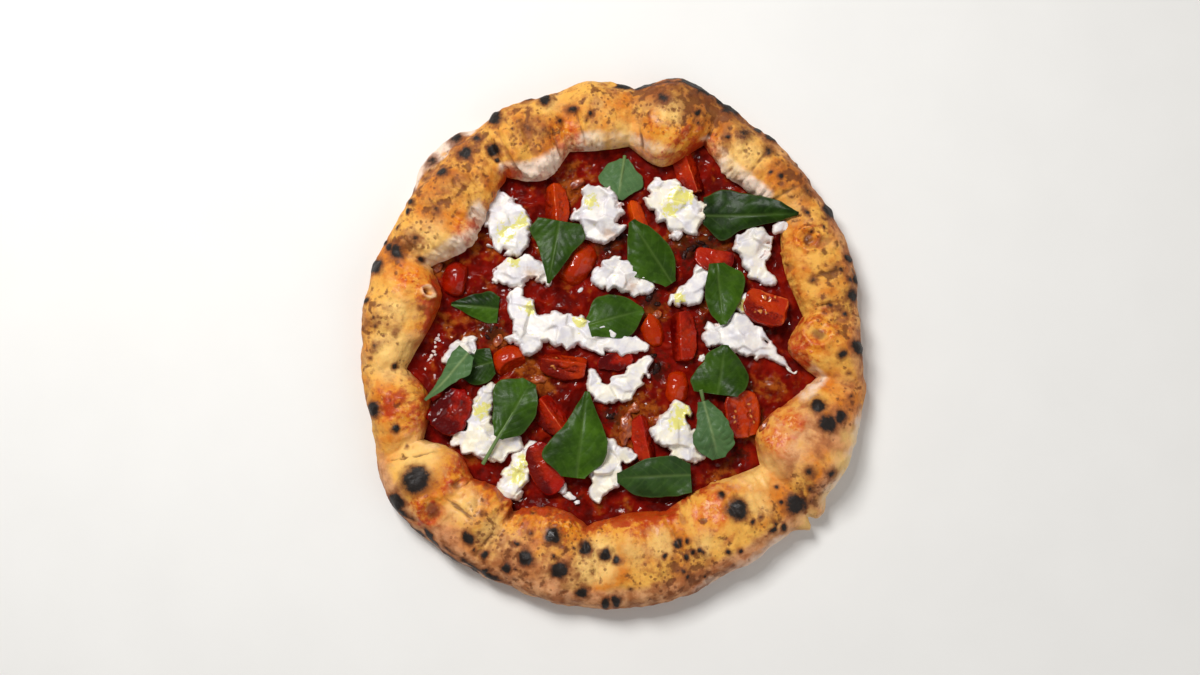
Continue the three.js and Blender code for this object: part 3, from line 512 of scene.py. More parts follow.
class Finish:
    """A material being made. Every node comes from node()."""

    def __init__(self, name):
        self.material = bpy.data.materials.new(name)
        self.material.use_nodes = True
        self.tree = self.material.node_tree
        self.tree.nodes.clear()
        self.place = self.node("ShaderNodeTexCoord", {}, {}, "Object")

    def node(self, kind, settings, inputs, output=0):
        """A node of a kind: its settings first, then a value or a link for each named socket."""
        made = self.tree.nodes.new(kind)
        for key, value in settings.items():
            setattr(made, key, value)
        for key, value in inputs.items():
            if isinstance(value, Amount):
                self.tree.links.new(value.socket, made.inputs[key])
            else:
                made.inputs[key].default_value = value
        return Amount(self, made.outputs[output]) if len(made.outputs) else None

    def marks(self, *names):
        """Values kept at the mesh's points."""
        return [self.node("ShaderNodeAttribute", {"attribute_name": name}, {}, "Fac") for name in names]

    def at(self, size, shift):
        """Place on the piece, counted in steps of a size in millimetres."""
        inputs = {"Vector": self.place, "Location": (shift,) * 3, "Scale": (1 / MM / size,) * 3}
        return self.node("ShaderNodeMapping", {}, inputs)

    def clouds(self, size, shift=0.0, detail=3.0):
        """Noise from 0 to 1 with swellings of a size in millimetres."""
        inputs = {"Scale": 1.0, "Detail": detail, "Roughness": CLOUD_ROUGHNESS}
        return self.node("ShaderNodeTexNoise", {}, {"Vector": self.at(size, shift), **inputs})

    def cells(self, size, shift):
        """Cells of a size in millimetres: how far a point is from the middle of its cell."""
        inputs = {"Vector": self.at(size, shift), "Scale": 1.0}
        return self.node("ShaderNodeTexVoronoi", {}, inputs, "Distance")

    def blend(self, share, first, second):
        """The first colour, going over to the second as the share rises to 1."""
        return self.node("ShaderNodeMix", {"data_type": "RGBA"}, {0: share, 6: first, 7: second}, 2)

    def bump(self, height, depth, strength):
        """A normal that leans as a surface would with this height, 0 to 1, times a depth in millimetres."""
        inputs = {"Height": height, "Distance": depth * MM, "Strength": strength}
        return self.node("ShaderNodeBump", {}, inputs)

    def surface(self, **sockets):
        """Ends the material in a surface. Socket names have _ for a space."""
        inputs = {key.replace("_", " "): value for key, value in sockets.items()}
        shader = self.node("ShaderNodeBsdfPrincipled", {}, inputs)
        self.node("ShaderNodeOutputMaterial", {}, {"Surface": shader})
        return self.material


def crust_finish():
    """Baked dough: creamy yellow where pinched, golden on the lobes, pink-tan low on the outside, freckled,
    stained with oil and tomato towards the sauce, with black blisters in brown rings. Painted shade darkens
    its cracks, the hollows of its knots and the grooves of its pleats."""
    f = Finish("baked_dough")
    burn, pale, side, stain, red = f.marks("burn", "pale", "side", "stain", "red")
    crease_shade, speckle, freckle, cream, groove = f.marks("crease_shade", "speckle", "freckle", "cream", "groove")
    broad, middling = f.clouds(22, 0.0, 6.0), f.clouds(8, 3.0, 6.0)
    small, fine = f.clouds(3, 9.0, 4.0), f.clouds(1.1, 15.0, 4.0)

    tone = f.blend(broad.rise(0.4, 0.62), colour(228, 168, 74), colour(208, 120, 30))
    tone = f.blend(middling.rise(0.5, 0.72) * 0.7, tone, colour(178, 98, 34))
    tone = f.blend((small - fine * 0.2).rise(0.42, 0.62) * 0.32, tone, colour(158, 90, 38))
    pink = f.blend(middling.rise(0.35, 0.65), colour(220, 162, 118), colour(172, 106, 66))
    tone = f.blend((side + (middling - 0.5) * 1.2).rise(0.2, 0.9) * 0.85, tone, pink)
    floury = f.blend(small, colour(224, 190, 164), colour(246, 228, 210))
    tone = f.blend((pale + (small - 0.5) * 0.4).rise(0.1, 0.8), tone, floury)

    oily = (stain + (middling - 0.5) * 1.2 + (small - 0.5) * 0.4).rise(0.25, 0.95)
    orange = f.blend((middling + small * 0.3).rise(0.5, 0.85), colour(224, 140, 26), colour(206, 76, 12))
    tone = f.blend(oily * 0.8, tone, orange)
    tomato_red = (red + (small - 0.5) * 0.7 + (middling - 0.5)).rise(0.25, 0.7)
    tone = f.blend(tomato_red * 0.8, tone, colour(164, 32, 8))

    flecks = (stain * 0.7 + (small - 0.5) * 2.4 + (fine - 0.5) * 1.2).rise(0.6, 1.0)
    tone = f.blend(flecks * 0.55, tone, colour(186, 56, 12))
    light_flecks = (stain * 0.7 + (f.clouds(2.4, 51.0, 4.0) - 0.5) * 3.0).rise(0.75, 1.2)
    tone = f.blend(light_flecks * (1 - red) * 0.5, tone, colour(244, 204, 140))
    tone = f.blend((cream + (middling - 0.5) * 0.8).rise(0.2, 0.9) * 0.8, tone, colour(238, 196, 116))
    toasted = (speckle + (middling - 0.5) * 1.4 + (small - 0.5) * 1.4).rise(0.2, 0.95) * (1 - pale * 0.8)
    tone = f.blend(toasted * (0.45 + speckle * 0.15), tone, colour(150, 80, 34))
    brown = (freckle + (small - 0.5) * 1.2 + (fine - 0.5) * 1.0).rise(0.2, 0.9)
    tone = f.blend(brown * (1 - pale * 0.7) * 0.8, tone, colour(104, 54, 24))
    sown = (f.clouds(9, 41.0, 2.0) * 0.7 + speckle * 0.5).rise(0.46, 0.66)
    dots = (0.34 + (fine - 0.5) * 0.4 + (middling - 0.5) * 0.3 - f.cells(3.6, 5.0)).rise(0.0, 0.12) * sown
    tone = f.blend(dots * (1 - pale * 0.8) * 0.7, tone, colour(110, 58, 28))

    heat = burn + burn.rise(0.02, 0.3) * ((middling - 0.5) * 0.3 + (small - 0.5) * 0.3)
    tone = f.blend(heat.rise(0.08, 0.52) * 0.85, tone, colour(122, 64, 28))
    black = (heat + (fine - 0.5) * 0.2).rise(0.4, 0.64)
    tone = f.blend(black, tone, f.blend(fine, colour(12, 10, 10), colour(42, 32, 26)))
    # Painted shade: the grooves between the pleats are darkened, less where the dough is burnt.
    tone = f.blend(groove.rise(0.1, 0.9) * (0.5 - heat.rise(0.3, 0.6) * 0.5), tone, colour(150, 88, 46))
    # Painted shade: the cracks and the hollows in the knots are darkened.
    tone = f.blend(crease_shade.rise(0.2, 0.9) * 0.8, tone, colour(104, 60, 30))

    rough = 0.62 - oily * 0.28 - heat.rise(0.5, 0.8) * 0.15 + (fine - 0.5) * 0.2
    grain = middling * 0.6 + small * 0.5 + fine * 0.15 - brown * 0.2
    return f.surface(
        Base_Color=tone, Roughness=rough, Normal=f.bump(grain, 1.3, 0.9), Specular_IOR_Level=0.22,
        Coat_Weight=oily * 0.1, Coat_Roughness=0.2,
        Subsurface_Weight=0.15, Subsurface_Radius=(1.0, 0.5, 0.25), Subsurface_Scale=0.002,
    )


def sauce_finish():
    """Crushed tomato under a film of oil: deep warm red, brown-orange on its pulp, nearly black where
    burnt, with painted shade in the hollows between its lumps."""
    f = Finish("tomato_sauce")
    lump, pulp, dark = f.marks("lump", "pulp", "dark")
    broad, middling, fine = f.clouds(15), f.clouds(5, 4.0, 4.0), f.clouds(1.6, 8.0, 3.0)
    tone = f.blend(broad.rise(0.38, 0.62), colour(84, 4, 0), colour(116, 8, 0))
    tone = f.blend((lump * 0.7 + middling - 0.55).rise(0.0, 0.5) * 0.7, tone, colour(142, 28, 4))
    patches = (middling - 0.5) * 1.6 + (f.clouds(11, 27.0) - 0.5) * 2.6
    brown = (pulp * 1.1 + lump * 0.5 + patches).rise(0.35, 1.1)
    ochre = f.blend((fine * 0.5 + middling).rise(0.55, 0.95), colour(92, 34, 4), colour(156, 78, 20))
    tone = f.blend(brown * 0.85, tone, ochre)
    burnt = (dark * 1.1 + (middling - 0.5) * 1.8 + (fine - 0.5)).rise(0.3, 0.95)
    tone = f.blend(burnt * 0.85, tone, f.blend(fine, colour(26, 8, 4), colour(56, 20, 8)))
    # Painted shade: the hollows between the lumps, where the bump is low, are darkened.
    tone = f.blend((0.62 - middling - lump * 0.3).rise(0.1, 0.35) * 0.6, tone, colour(52, 4, 0))
    height = middling * 0.9 + fine * 0.2
    film = f.clouds(5, 61.0, 2.0).rise(0.54, 0.64)
    return f.surface(
        Base_Color=tone, Roughness=0.5 + fine * 0.2, Normal=f.bump(height, 1.0, 0.8),
        Coat_Weight=0.03 + film * 0.4, Coat_Roughness=0.04, Specular_IOR_Level=0.03,
    )


def tomato_finish():
    """Cherry tomato: glossy skin, and where it is cut orange-red flesh that deepens away from its middle and
    is darkened by painted shade towards one side, with wet gel and pale seeds."""
    f = Finish("cherry_tomato")
    cut, gel, seed, ripe, ridge, deep = f.marks("cut", "gel", "seed", "ripe", "ridge", "deep")
    broad, middling, fine = f.clouds(10, 2.0), f.clouds(3.6, 4.0, 3.0), f.clouds(1.2, 6.0, 3.0)
    skin = f.blend(ripe, colour(178, 52, 0), colour(112, 0, 0))
    mottled = f.blend(ripe, colour(166, 30, 0), colour(146, 4, 0))
    skin = f.blend(broad.rise(0.35, 0.65) * 0.6, skin, mottled)
    bright = f.blend(ripe, colour(196, 70, 2), colour(156, 20, 6))
    dark = f.blend(ripe, colour(154, 30, 0), colour(80, 0, 0))
    # deep holds the flesh's own deepening away from the middle and painted shade towards one side of the
    # piece.
    depth = (deep + (broad - 0.5) * 0.9 + (middling - 0.5) * 0.7).rise(0.1, 0.75)
    inside = f.blend(depth, bright, dark)
    wet = f.blend(fine.rise(0.35, 0.65), colour(90, 0, 0), colour(150, 34, 8))
    inside = f.blend((gel + (middling - 0.5) * 1.2).rise(0.3, 0.9) * 0.75, inside, wet)
    pale_edge = f.blend(ripe, colour(232, 150, 60), colour(212, 100, 58))
    inside = f.blend((ridge + (middling - 0.5) * 1.2).rise(0.35, 1.0) * 0.6, inside, pale_edge)
    inside = f.blend(seed.rise(0.3, 0.7) * 0.8, inside, colour(214, 142, 72))
    tone = f.blend(cut.rise(0.3, 0.7), skin, inside)
    grain = middling + fine * (0.15 + cut * 0.2)
    return f.surface(
        Base_Color=tone, Roughness=0.2 + cut * 0.1 + fine * 0.14, Normal=f.bump(grain, 0.9, 0.8),
        Subsurface_Weight=0.25, Subsurface_Radius=(1.0, 0.15, 0.05), Subsurface_Scale=0.003,
        Coat_Weight=0.4, Coat_Roughness=0.05, Specular_IOR_Level=0.05,
    )


def mozzarella_finish():
    """Torn fresh mozzarella: milky white, moist, cream in its hollows, with pools of green-yellow oil."""
    f = Finish("mozzarella")
    oil, brown, thin, warm = f.marks("oil", "brown", "thin", "warm")
    broad, middling, fine = f.clouds(7, 1.0), f.clouds(3.2, 5.0), f.clouds(1.4, 7.0, 3.0)
    tone = f.blend(broad.rise(0.35, 0.65), colour(214, 209, 212), colour(234, 228, 221))
    tone = f.blend(warm * broad.rise(0.3, 0.7) * 0.7, tone, colour(230, 218, 178))
    pooled = (oil + (middling - 0.5) * 2.2 + (fine - 0.5)).rise(0.35, 0.7)
    tone = f.blend(pooled * 0.8, tone, colour(220, 212, 86))
    tone = f.blend((brown + (middling - 0.5) * 1.2).rise(0.3, 0.9) * 0.6, tone, colour(196, 158, 124))
    tone = f.blend((thin + (fine - 0.5)).rise(0.4, 1.1) * 0.4, tone, colour(222, 164, 148))
    return f.surface(
        Base_Color=tone, Roughness=0.45 - oil * 0.25, Normal=f.bump(middling * 0.7 + fine * 0.3, 0.45, 0.6),
        Subsurface_Weight=0.35, Subsurface_Radius=(1.0, 0.9, 0.82), Subsurface_Scale=0.002,
        Coat_Weight=0.1 + oil * 0.4, Coat_Roughness=0.15, Specular_IOR_Level=0.35,
    )


def basil_finish():
    """Basil: satin deep green above and grey-green beneath, with slightly paler veins and a painted
    highlight along the edges.
    """
    f = Finish("basil")
    vein, under, dark, edge = f.marks("vein", "under", "dark", "edge")
    broad, middling, fine = f.clouds(10, 5.0), f.clouds(3.5, 3.0), f.clouds(1.0, 2.0, 4.0)
    upper = f.blend(dark, colour(52, 84, 10), colour(14, 30, 4))
    lighter = f.blend(dark, colour(70, 104, 18), colour(26, 50, 10))
    upper = f.blend((broad * 0.7 + middling * 0.5).rise(0.5, 0.72) * 0.7, upper, lighter)
    upper = f.blend(vein * 0.3, upper, colour(98, 122, 58))
    lower = f.blend(broad, colour(54, 86, 46), colour(88, 118, 74))
    lower = f.blend(vein * 0.5, lower, colour(140, 156, 104))
    tone = f.blend(under, upper, lower)
    tone = f.blend((fine + edge * 0.3 - 0.7).rise(0.0, 0.3) * 0.25, tone, colour(16, 24, 8))
    # Painted highlight: the very edge of each leaf is lightened.
    tone = f.blend(edge.rise(0.8, 1.0) * 0.25, tone, colour(92, 108, 56))
    height = middling * 0.8 + fine * 0.35 - vein * 0.3
    return f.surface(
        Base_Color=tone, Roughness=0.4 + under * 0.2 + (fine - 0.5) * 0.2, Normal=f.bump(height, 0.35, 0.7),
        Specular_IOR_Level=0.1, Coat_Weight=0.04, Coat_Roughness=0.15,
    )


# ---------- crust ----------

# Swellings of the dough: [size, depth].
DOUGH_LUMPS = [[24, 1.3], [11, 1.0], [5, 0.5], [2.2, 0.16]]
CRUST_COLUMNS = 864
LOWER_ROWS = 16
ARCH_ROWS = 74
FLAT_ROWS = 6


def rim_at(degrees):
    """Inner radius, outer radius and height of the rim. From a lobe to the crease beside it each follows a
    quarter of a cosine, so lobes are round and creases sharp."""
    first = RIM[0, 0]
    rows = np.vstack([RIM, [first + 360, *RIM[0, 1:]]])
    angle = first + (degrees - first) % 360
    i = np.clip(np.searchsorted(rows[:, 0], angle, side="right") - 1, 0, len(RIM) - 1)
    share = (angle - rows[i, 0]) / (rows[i + 1, 0] - rows[i, 0]) * np.pi / 2
    blend = np.where(i % 2 == 0, 1 - np.cos(share), np.sin(share))[..., None]
    sizes = rows[i, 1:] + (rows[i + 1, 1:] - rows[i, 1:]) * blend
    return sizes[..., 0], sizes[..., 1], sizes[..., 2]


def rim_section(degrees, section):
    """Radius and height on the rim's section: a superellipse over the rim, on a foot curled in below its
    widest line, with the lips of bottom dough pushed out by exp(-x^4) along the edge and exp(-z^2) up it."""
    inner, outer, height = rim_at(degrees)
    widest = height * WIDEST_HEIGHT
    a, s = np.radians(degrees), np.radians(section)
    full_cos = np.sign(np.cos(s)) * np.abs(np.cos(s)) ** (2 / SECTION_FULLNESS)
    full_sin = np.sign(np.sin(s)) * np.abs(np.sin(s)) ** (2 / SECTION_FULLNESS)
    swell = 0.8 * np.sin(23 * a + 2 * s) * np.sin(s) + 0.6 * np.sin(37 * a - 3 * s) * np.sin(s) ** 2
    below = section < 0
    radius = np.where(
        below, outer - FOOT_INSET * (1 - full_cos), (outer + inner) / 2 + (outer - inner) / 2 * full_cos,
    )
    z = np.where(below, widest * (1 + full_sin), widest + (height - widest + swell) * full_sin)
    for lip in LIPS:
        off = (degrees - lip["at"] + 180) % 360 - 180
        along_edge = np.exp(-((off / lip["half_width"]) ** 4))
        up = np.exp(-(((z - lip["height"]) / LIP_THICKNESS) ** 2))
        pushed = (section > -89) & (section < LIP_TOP_ANGLE)
        radius = radius + np.where(pushed, lip["reach"] * along_edge * up, 0)
    return radius, z


def even_sections():
    """Section angles that part a typical section of the rim into even steps."""
    fine = np.linspace(-90, 180, 1081)
    radius, z = rim_section(np.full_like(fine, 20.0), fine)
    length = np.concatenate([[0], np.cumsum(np.hypot(np.diff(radius), np.diff(z)))])
    widest = np.interp(0, fine, length)
    lower = np.interp(np.linspace(0, widest, LOWER_ROWS, endpoint=False), length, fine)
    arch = np.interp(np.linspace(widest, length[-1], ARCH_ROWS), length, fine)
    return np.concatenate([lower, arch])


def spots(x, y, table, spread=1.5):
    """How deep a point lies in the nearest spot of a table: 1 in the middle, 0.5 at its radius, 0 beyond
    the spread. Returned with the table's last column for that spot."""
    depth = np.zeros_like(x)
    value = np.zeros_like(x)
    for spot_x, spot_y, radius, level in table:
        near = np.clip(1 - np.hypot(x - spot_x, y - spot_y) / radius / spread * 0.75, 0, 1)
        better = near * level > depth * value
        depth = np.where(better, near, depth)
        value = np.where(better, level, value)
    return depth, value


def line_distance(x, y, start, end):
    """Distance from a line between two points, and how far along it, 0 to 1."""
    (ax, ay), (bx, by) = start, end
    dx, dy = bx - ax, by - ay
    along = np.clip(((x - ax) * dx + (y - ay) * dy) / (dx * dx + dy * dy), 0, 1)
    return np.hypot(x - ax - along * dx, y - ay - along * dy), along


def within(degrees, windows, edge=4.0):
    """Strength of the angle windows at an angle, with soft ends."""
    total = np.zeros_like(degrees)
    for start, end, strength in windows:
        half = (end - start) / 2
        off = np.abs((degrees - (start + end) / 2 + 180) % 360 - 180)
        total = np.maximum(total, strength * smooth(half - off, -edge, edge))
    return total


def nearness(x, y, table, spread=1.5):
    """How deep a point lies in the spots of a table, times their last column; the strongest counts."""
    depth, level = spots(x, y, table, spread)
    return depth * level


def small_chars():
    """Small burnt freckles: random places on the rim, kept more often where the dough is speckled."""
    draw = np.random.default_rng(FRECKLE_SEED)
    angle, radius, size, level, chance = draw.uniform(FRECKLE_LEAST, FRECKLE_MOST, (FRECKLE_TRIES, 5)).T
    x, y = radius * np.cos(angle), radius * np.sin(angle)
    kept = nearness(x, y, SPECKLES, 1.4) > chance
    return np.column_stack([x, y, size, level])[kept]


def crust_shape():
    """The dough: rows from the middle of the underside, round the rim's section and down to the floor of
    the well, moved along the normal by lumps, blisters, cracks, wrinkles and knots."""
    degrees, section = np.meshgrid(np.arange(CRUST_COLUMNS) * 360 / CRUST_COLUMNS, even_sections())
    radius, z = rim_section(degrees, section)
    shares = np.linspace(0.02, 1, FLAT_ROWS, endpoint=False)[:, None]
    inner = rim_at(degrees[0])[0]
    floor_radius = np.vstack([inner + WALL_TUCK, (inner - 3) * shares[::-1]])
    radius = np.vstack([radius[0] * shares, radius, floor_radius])
    z = np.vstack([z[0] * np.ones_like(shares), z, np.full_like(floor_radius, BASE_TOP)])
    count = len(radius)
    degrees = np.broadcast_to(degrees[0], radius.shape)
    section = np.concatenate([np.full(FLAT_ROWS, -90), section[:, 0], np.full(FLAT_ROWS + 1, 180)])[:, None]
    for at, half, reach in NOTCHES:
        near = np.exp(-(((degrees - at) / half) ** 2)) * smooth(z, 1, 4) * smooth(NOTCH_TOP - z, 0, 6)
        radius = radius + reach * near * (section < LIP_TOP_ANGLE)
    a = np.radians(degrees)
    rows = np.stack([radius * np.cos(a), radius * np.sin(a), z], -1)
    normals = row_normals(rows)
    x, y = rows[..., 0], rows[..., 1]

    row = np.arange(count)[:, None]
    free = smooth(z, 0.6, 5.0) * smooth(count - FLAT_ROWS - row, 1, 6)
    seen = smooth(section, -30, 5)
    inner_all, outer_all, _ = rim_at(degrees)
    inwards = np.clip((outer_all - radius) / (outer_all - inner_all), 0, 1)

    warp_x = x + 1.6 * plan_noise(x, y, 6, 31)
    warp_y = y + 1.6 * plan_noise(x, y, 6, 32)
    burn_depth, burn_level = spots(warp_x, warp_y, np.vstack([CHARS, small_chars()]))
    stain_depth, stain_red = spots(warp_x, warp_y, STAINS, 1.8)
    edge_burn = 0.75 * within(degrees, EDGE_CHARS, 3.0) * smooth(0.2 - inwards, 0.0, 0.16)
    edge_burn = edge_burn * smooth(noise(rows, 9, 33) + 0.03 * (z - 12), -0.4, 0.4)
    burn = np.maximum(burn_depth * burn_level * seen, edge_burn)
    rubbed = within(degrees, SMEARS) * smooth(inwards + 0.12 * plan_noise(x, y, 12, 34), 0.5, 1.0)
    stain = np.clip(np.maximum(stain_depth * 1.2, rubbed), 0, 1) * seen
    climb = smooth(inwards + 0.1 * plan_noise(x, y, 7, 35), 0.86, 1.0)
    red = np.clip(stain_depth * stain_red + np.maximum(rubbed, 0.35) * climb, 0, 1) * seen
    pale = within(degrees, PALE_WALLS, 3.0) * smooth(inwards, 0.7, 0.9)
    flap = within(degrees, FLOURY_LIPS, 5.0) * smooth(0.16 - inwards, 0.0, 0.08)
    flap = flap * smooth(20 - z + 6 * noise(rows, 8, 37), 0, 10)
    dusted = smooth(0.15 - inwards + 0.04 * noise(rows, 7, 36), 0.0, 0.14)
    dusted = within(degrees, DUSTED_EDGES, 4.0) * dusted
    pale = np.maximum(pale * (1 - red), flap)
    pale = np.clip(np.maximum(pale, dusted * (1 - burn)), 0, 1)
    side = smooth(0.34 - inwards, 0.0, 0.24) * within(degrees, TAN_SIDES, 8.0)
    side = np.maximum(side, nearness(warp_x, warp_y, TAN_SPOTS, 1.8) * seen)

    lumps = sum(depth * noise(rows, size, seed) for seed, (size, depth) in enumerate(DOUGH_LUMPS, 1))
    blister = 0.9 * smooth(burn_depth, 0.35, 0.9) * burn_level * seen
    # Painted shade for the cracks and the knots' hollows, which are also cut into the shape.
    crease_shade = np.zeros_like(radius)
    cut_in = np.zeros_like(radius)
    for start, end, width, depth in CRACKS:
        wander = 0.9 * plan_noise(x, y, 5, depth)
        distance, along = line_distance(x, y, start, end)
        tapered = np.sin(np.pi * np.clip(along, 0.04, 0.96)) ** 0.4
        near = np.exp(-(((distance + wander) / width) ** 2)) * tapered
        crease_shade = np.maximum(crease_shade, near * seen * smooth(depth, 0.6, 1.8))
        cut_in = np.maximum(cut_in, near * depth * seen)
    ring = np.zeros_like(radius)
    for knot_x, knot_y, knot_radius, height, paleness in KNOTS:
        away = np.hypot(x - knot_x, y - knot_y) + 0.8 * plan_noise(x, y, 6, height)
        bead = np.exp(-(((away - knot_radius) / 1.8) ** 2)) * seen
        hole = np.exp(-((away / knot_radius * 1.6) ** 4)) * seen
        ring = ring + height * (bead - 0.8 * hole)
        pale = np.maximum(pale, bead * paleness)
        stain, red = stain * (1 - bead * paleness), red * (1 - bead * paleness)
        # The knot's hollow is darkened with painted shade.
        crease_shade = np.maximum(crease_shade, 0.8 * hole)
    spoke = np.stack([degrees * 2.5, radius / 3, z / 3], -1)
    pleats = (1 - 2.5 * np.abs(noise(spoke, 7, 6))) * smooth(noise(rows, 26, 8), -0.3, 0.4)
    fine_pleats = (0.4 + 0.4 * pale) * (1 - 2.5 * np.abs(noise(spoke, 3.4, 16)))
    pleats = pleats + fine_pleats * np.maximum(smooth(noise(rows, 18, 18), -0.1, 0.4), pale)
    pleats = pleats * (0.8 + 0.9 * within(degrees, PLEATED)) * smooth(inwards, 0.05, 0.4)
    # Where painted shade goes: the valleys of the pleats.
    groove = smooth(-pleats, 0.05, 0.7) * seen
    speckle = nearness(x, y, SPECKLES, 1.4) * seen
    warped = np.stack([warp_x, warp_y, z], -1)
    scatter = 0.8 * noise(warped, 4.6, 26) + 0.35 * noise(warped, 11, 27) + 0.6 * speckle
    freckle = smooth(scatter - 0.3 * smooth(inwards, 0.6, 0.9), 0.35, 0.95) * seen
    moved = (lumps + blister - cut_in + ring + pleats - 0.2 * freckle) * free
    rows = rows + normals * moved[..., None]
    rows[..., 2] = np.maximum(rows[..., 2], 0)
    cream = nearness(warp_x, warp_y, CREAM, 1.6) * seen
    marks = {
        "burn": burn, "freckle": freckle, "stain": stain, "red": red, "pale": pale, "crease_shade": crease_shade,
        "side": side, "speckle": speckle, "cream": cream, "groove": groove,
    }
    return closed_rows(rows, marks)


# ---------- sauce ----------

SAUCE_COLUMNS = 600
SAUCE_ROWS = 110
SAUCE_REACH = 1.2  # how far the sauce runs in under the rim


def sauce_height(x, y):
    """Level of the sauce: highest in the middle, with the broad lumps of its solid."""
    crown = SAUCE_CROWN * (1 - (x ** 2 + y ** 2) / RIM[0, 1] ** 2)
    return SAUCE_TOP + crown + 0.5 * np.sin(x / 7 + 1) * np.cos(y / 8) + 0.35 * np.sin((x - y) / 11 + 2)


def sauce_shape():
    """The sauce: level rings from its underside over its edge to the middle, raised by lumps of pulp that
    are the positive part of noise."""
    degrees = np.arange(SAUCE_COLUMNS) * 360 / SAUCE_COLUMNS
    inner = rim_at(degrees)[0]
    shares = np.sqrt(np.linspace(1, 0.0004, SAUCE_ROWS))[:, None]
    a = np.radians(degrees)
    top_radius = (inner + SAUCE_REACH * 0.6) * shares
    radius = np.vstack([0.02 * inner, 0.985 * inner, inner + SAUCE_REACH, top_radius])
    x, y = radius * np.cos(a), radius * np.sin(a)
    plan = np.stack([x, y, np.zeros_like(x)], -1)
    pulp, dark = nearness(x, y, PULP, 1.7), nearness(x, y, DARK_SAUCE, 1.7)
    lump = np.maximum(noise(plan, 9, 21), 0) * 1.6 + np.maximum(noise(plan, 4.5, 22), -0.2) * 1.1
    lump = lump + 0.2 * noise(plan, 2.2, 23) + pulp * (0.6 + 1.0 * noise(plan, 3.6, 24))
    edge = smooth(radius, inner - 7, inner)
    top = sauce_height(x, y) + lump * (1 - 0.4 * edge) + 0.9 * edge
    z = np.vstack([np.full((2, len(a)), BASE_TOP + 0.4), np.full((1, len(a)), SAUCE_TOP - 1.5), top[3:]])
    marks = {"lump": np.clip(lump / 2, 0, 1), "pulp": pulp, "dark": dark}
    return closed_rows(np.stack([x, y, z], -1), marks)


# ---------- mozzarella ----------

CURD_STEP = 0.48
CURD_EDGE = 3.2  # how far in from its edge a piece reaches its full thickness
CURD_SIDE = 0.3  # share of its thickness at which a piece is widest
CURD_MARGIN = 5.0  # room for the teeth round a piece
PLANE_SOFTNESS = 0.55  # how softly torn planes meet
PLANE_TILT = 0.13  # usual tilt of a torn plane

# Oil on the cheese and where it is browned: [piece, x, y, radius].
OIL_POOLS = [
    [1, -67, 69, 5], [1, -57, 76, 4], [4, 37, 84, 4.5], [4, 42, 90, 6], [4, 48, 92, 4], [9, 43, 27, 4],
    [10, 81, 23, 4], [13, -82, -43, 4.5], [14, -60, -84, 5], [18, 45, -46, 5], [18, 41, -52, 4.5],
    [7, -52, 20, 4], [7, -20, 12, 3.5], [3, -14, 88, 4], [14, -56, -76, 3.5], [2, -62, 50, 3],
]
BROWNED = [[2, -51, 41, 6], [3, -2, 68, 5], [8, 12, 34, 4]]
USUAL_WARMTH = 0.05
CREAMY = {4: 0.6, 5: 0.5, 12: 0.5, 13: 0.9, 14: 1.0, 15: 0.7, 17: 0.5, 18: 0.8}  # pieces of a warmer white
THIN_EDGE = 2.0  # how far in from its edge the cheese lets the sauce shine through


def curd_field(x, y, strands):
    """How far inside the torn outline each plan point is, and how thick the cheese is there. Inside is the
    half width less the distance from the nearest strand, thickness a mean of the strands' own, weighted by
    e to the power of that depth."""
    depths, thicknesses = [], []
    for strand in strands:
        for start, end in zip(strand[:-1], strand[1:]):
            distance, along = line_distance(x, y, start[:2], end[:2])
            half = start[2] + (end[2] - start[2]) * along
            depths.append(half - distance)
            thicknesses.append(np.minimum(CURD_THICKNESS, CURD_THINNEST + CURD_FULLNESS * half))
    depths, thicknesses = np.array(depths), np.array(thicknesses)
    weights = np.exp(np.clip(depths, -30, 30))
    return depths.max(0), (thicknesses * weights).sum(0) / weights.sum(0)


def connected(mask, start):
    """The part of a mask that can be walked to from a cell."""
    part = np.zeros_like(mask)
    part[start] = True
    size = 0
    while part.sum() > size:
        size = part.sum()
        wide = np.pad(part, 1)
        part = mask & (part | wide[2:, 1:-1] | wide[:-2, 1:-1] | wide[1:-1, 2:] | wide[1:-1, :-2])
    return part


def two_sheets(x, y, depth, top, bottom, marks):
    """A closed body over the part of a plan grid where depth is above 0: a top and a bottom sheet that
    share their outermost points, which are moved along the slope of depth on to its zero line."""
    slope_y, slope_x = np.gradient(depth, CURD_STEP)
    steep = np.maximum(slope_x ** 2 + slope_y ** 2, 0.05)
    middle = np.unravel_index(depth.argmax(), depth.shape)
    inside = connected(depth > -0.35 * CURD_STEP, middle)
    cells = inside[:-1, :-1] & inside[1:, :-1] & inside[:-1, 1:] & inside[1:, 1:]
    padded = np.pad(cells, 1)
    around = padded[:-1, :-1].astype(int) + padded[1:, :-1] + padded[:-1, 1:] + padded[1:, 1:]
    edge = (around > 0) & (around < 4)
    shift = np.clip(-depth / steep, -CURD_STEP, CURD_STEP)
    x = np.where(edge, x + np.clip(shift * slope_x, -CURD_STEP, CURD_STEP), x)
    y = np.where(edge, y + np.clip(shift * slope_y, -CURD_STEP, CURD_STEP), y)
    top = np.where(edge, (top + bottom) / 2, top)
    used = around > 0
    number = np.cumsum(used.ravel()).reshape(used.shape) - 1
    inner = around == 4
    lower = np.where(inner, used.sum() + np.cumsum(inner.ravel()).reshape(inner.shape) - 1, number)
    j, i = np.nonzero(cells)
    ring = [(j, i), (j, i + 1), (j + 1, i + 1), (j + 1, i)]
    upper_faces = np.stack([number[c] for c in ring], -1)
    lower_faces = np.stack([lower[c] for c in reversed(ring)], -1)
    points = np.concatenate([
        np.stack([x[used], y[used], top[used]], -1), np.stack([x[inner], y[inner], bottom[inner]], -1),
    ])
    values = {key: np.concatenate([v[used], v[inner]]) for key, v in marks.items()}
    return Shape(points, [upper_faces, lower_faces], values)


def rounded(share):
    """A quarter circle: 0 at 0, 1 from 1 on."""
    return np.sqrt(1 - (1 - np.clip(share, 0, 1)) ** 2)


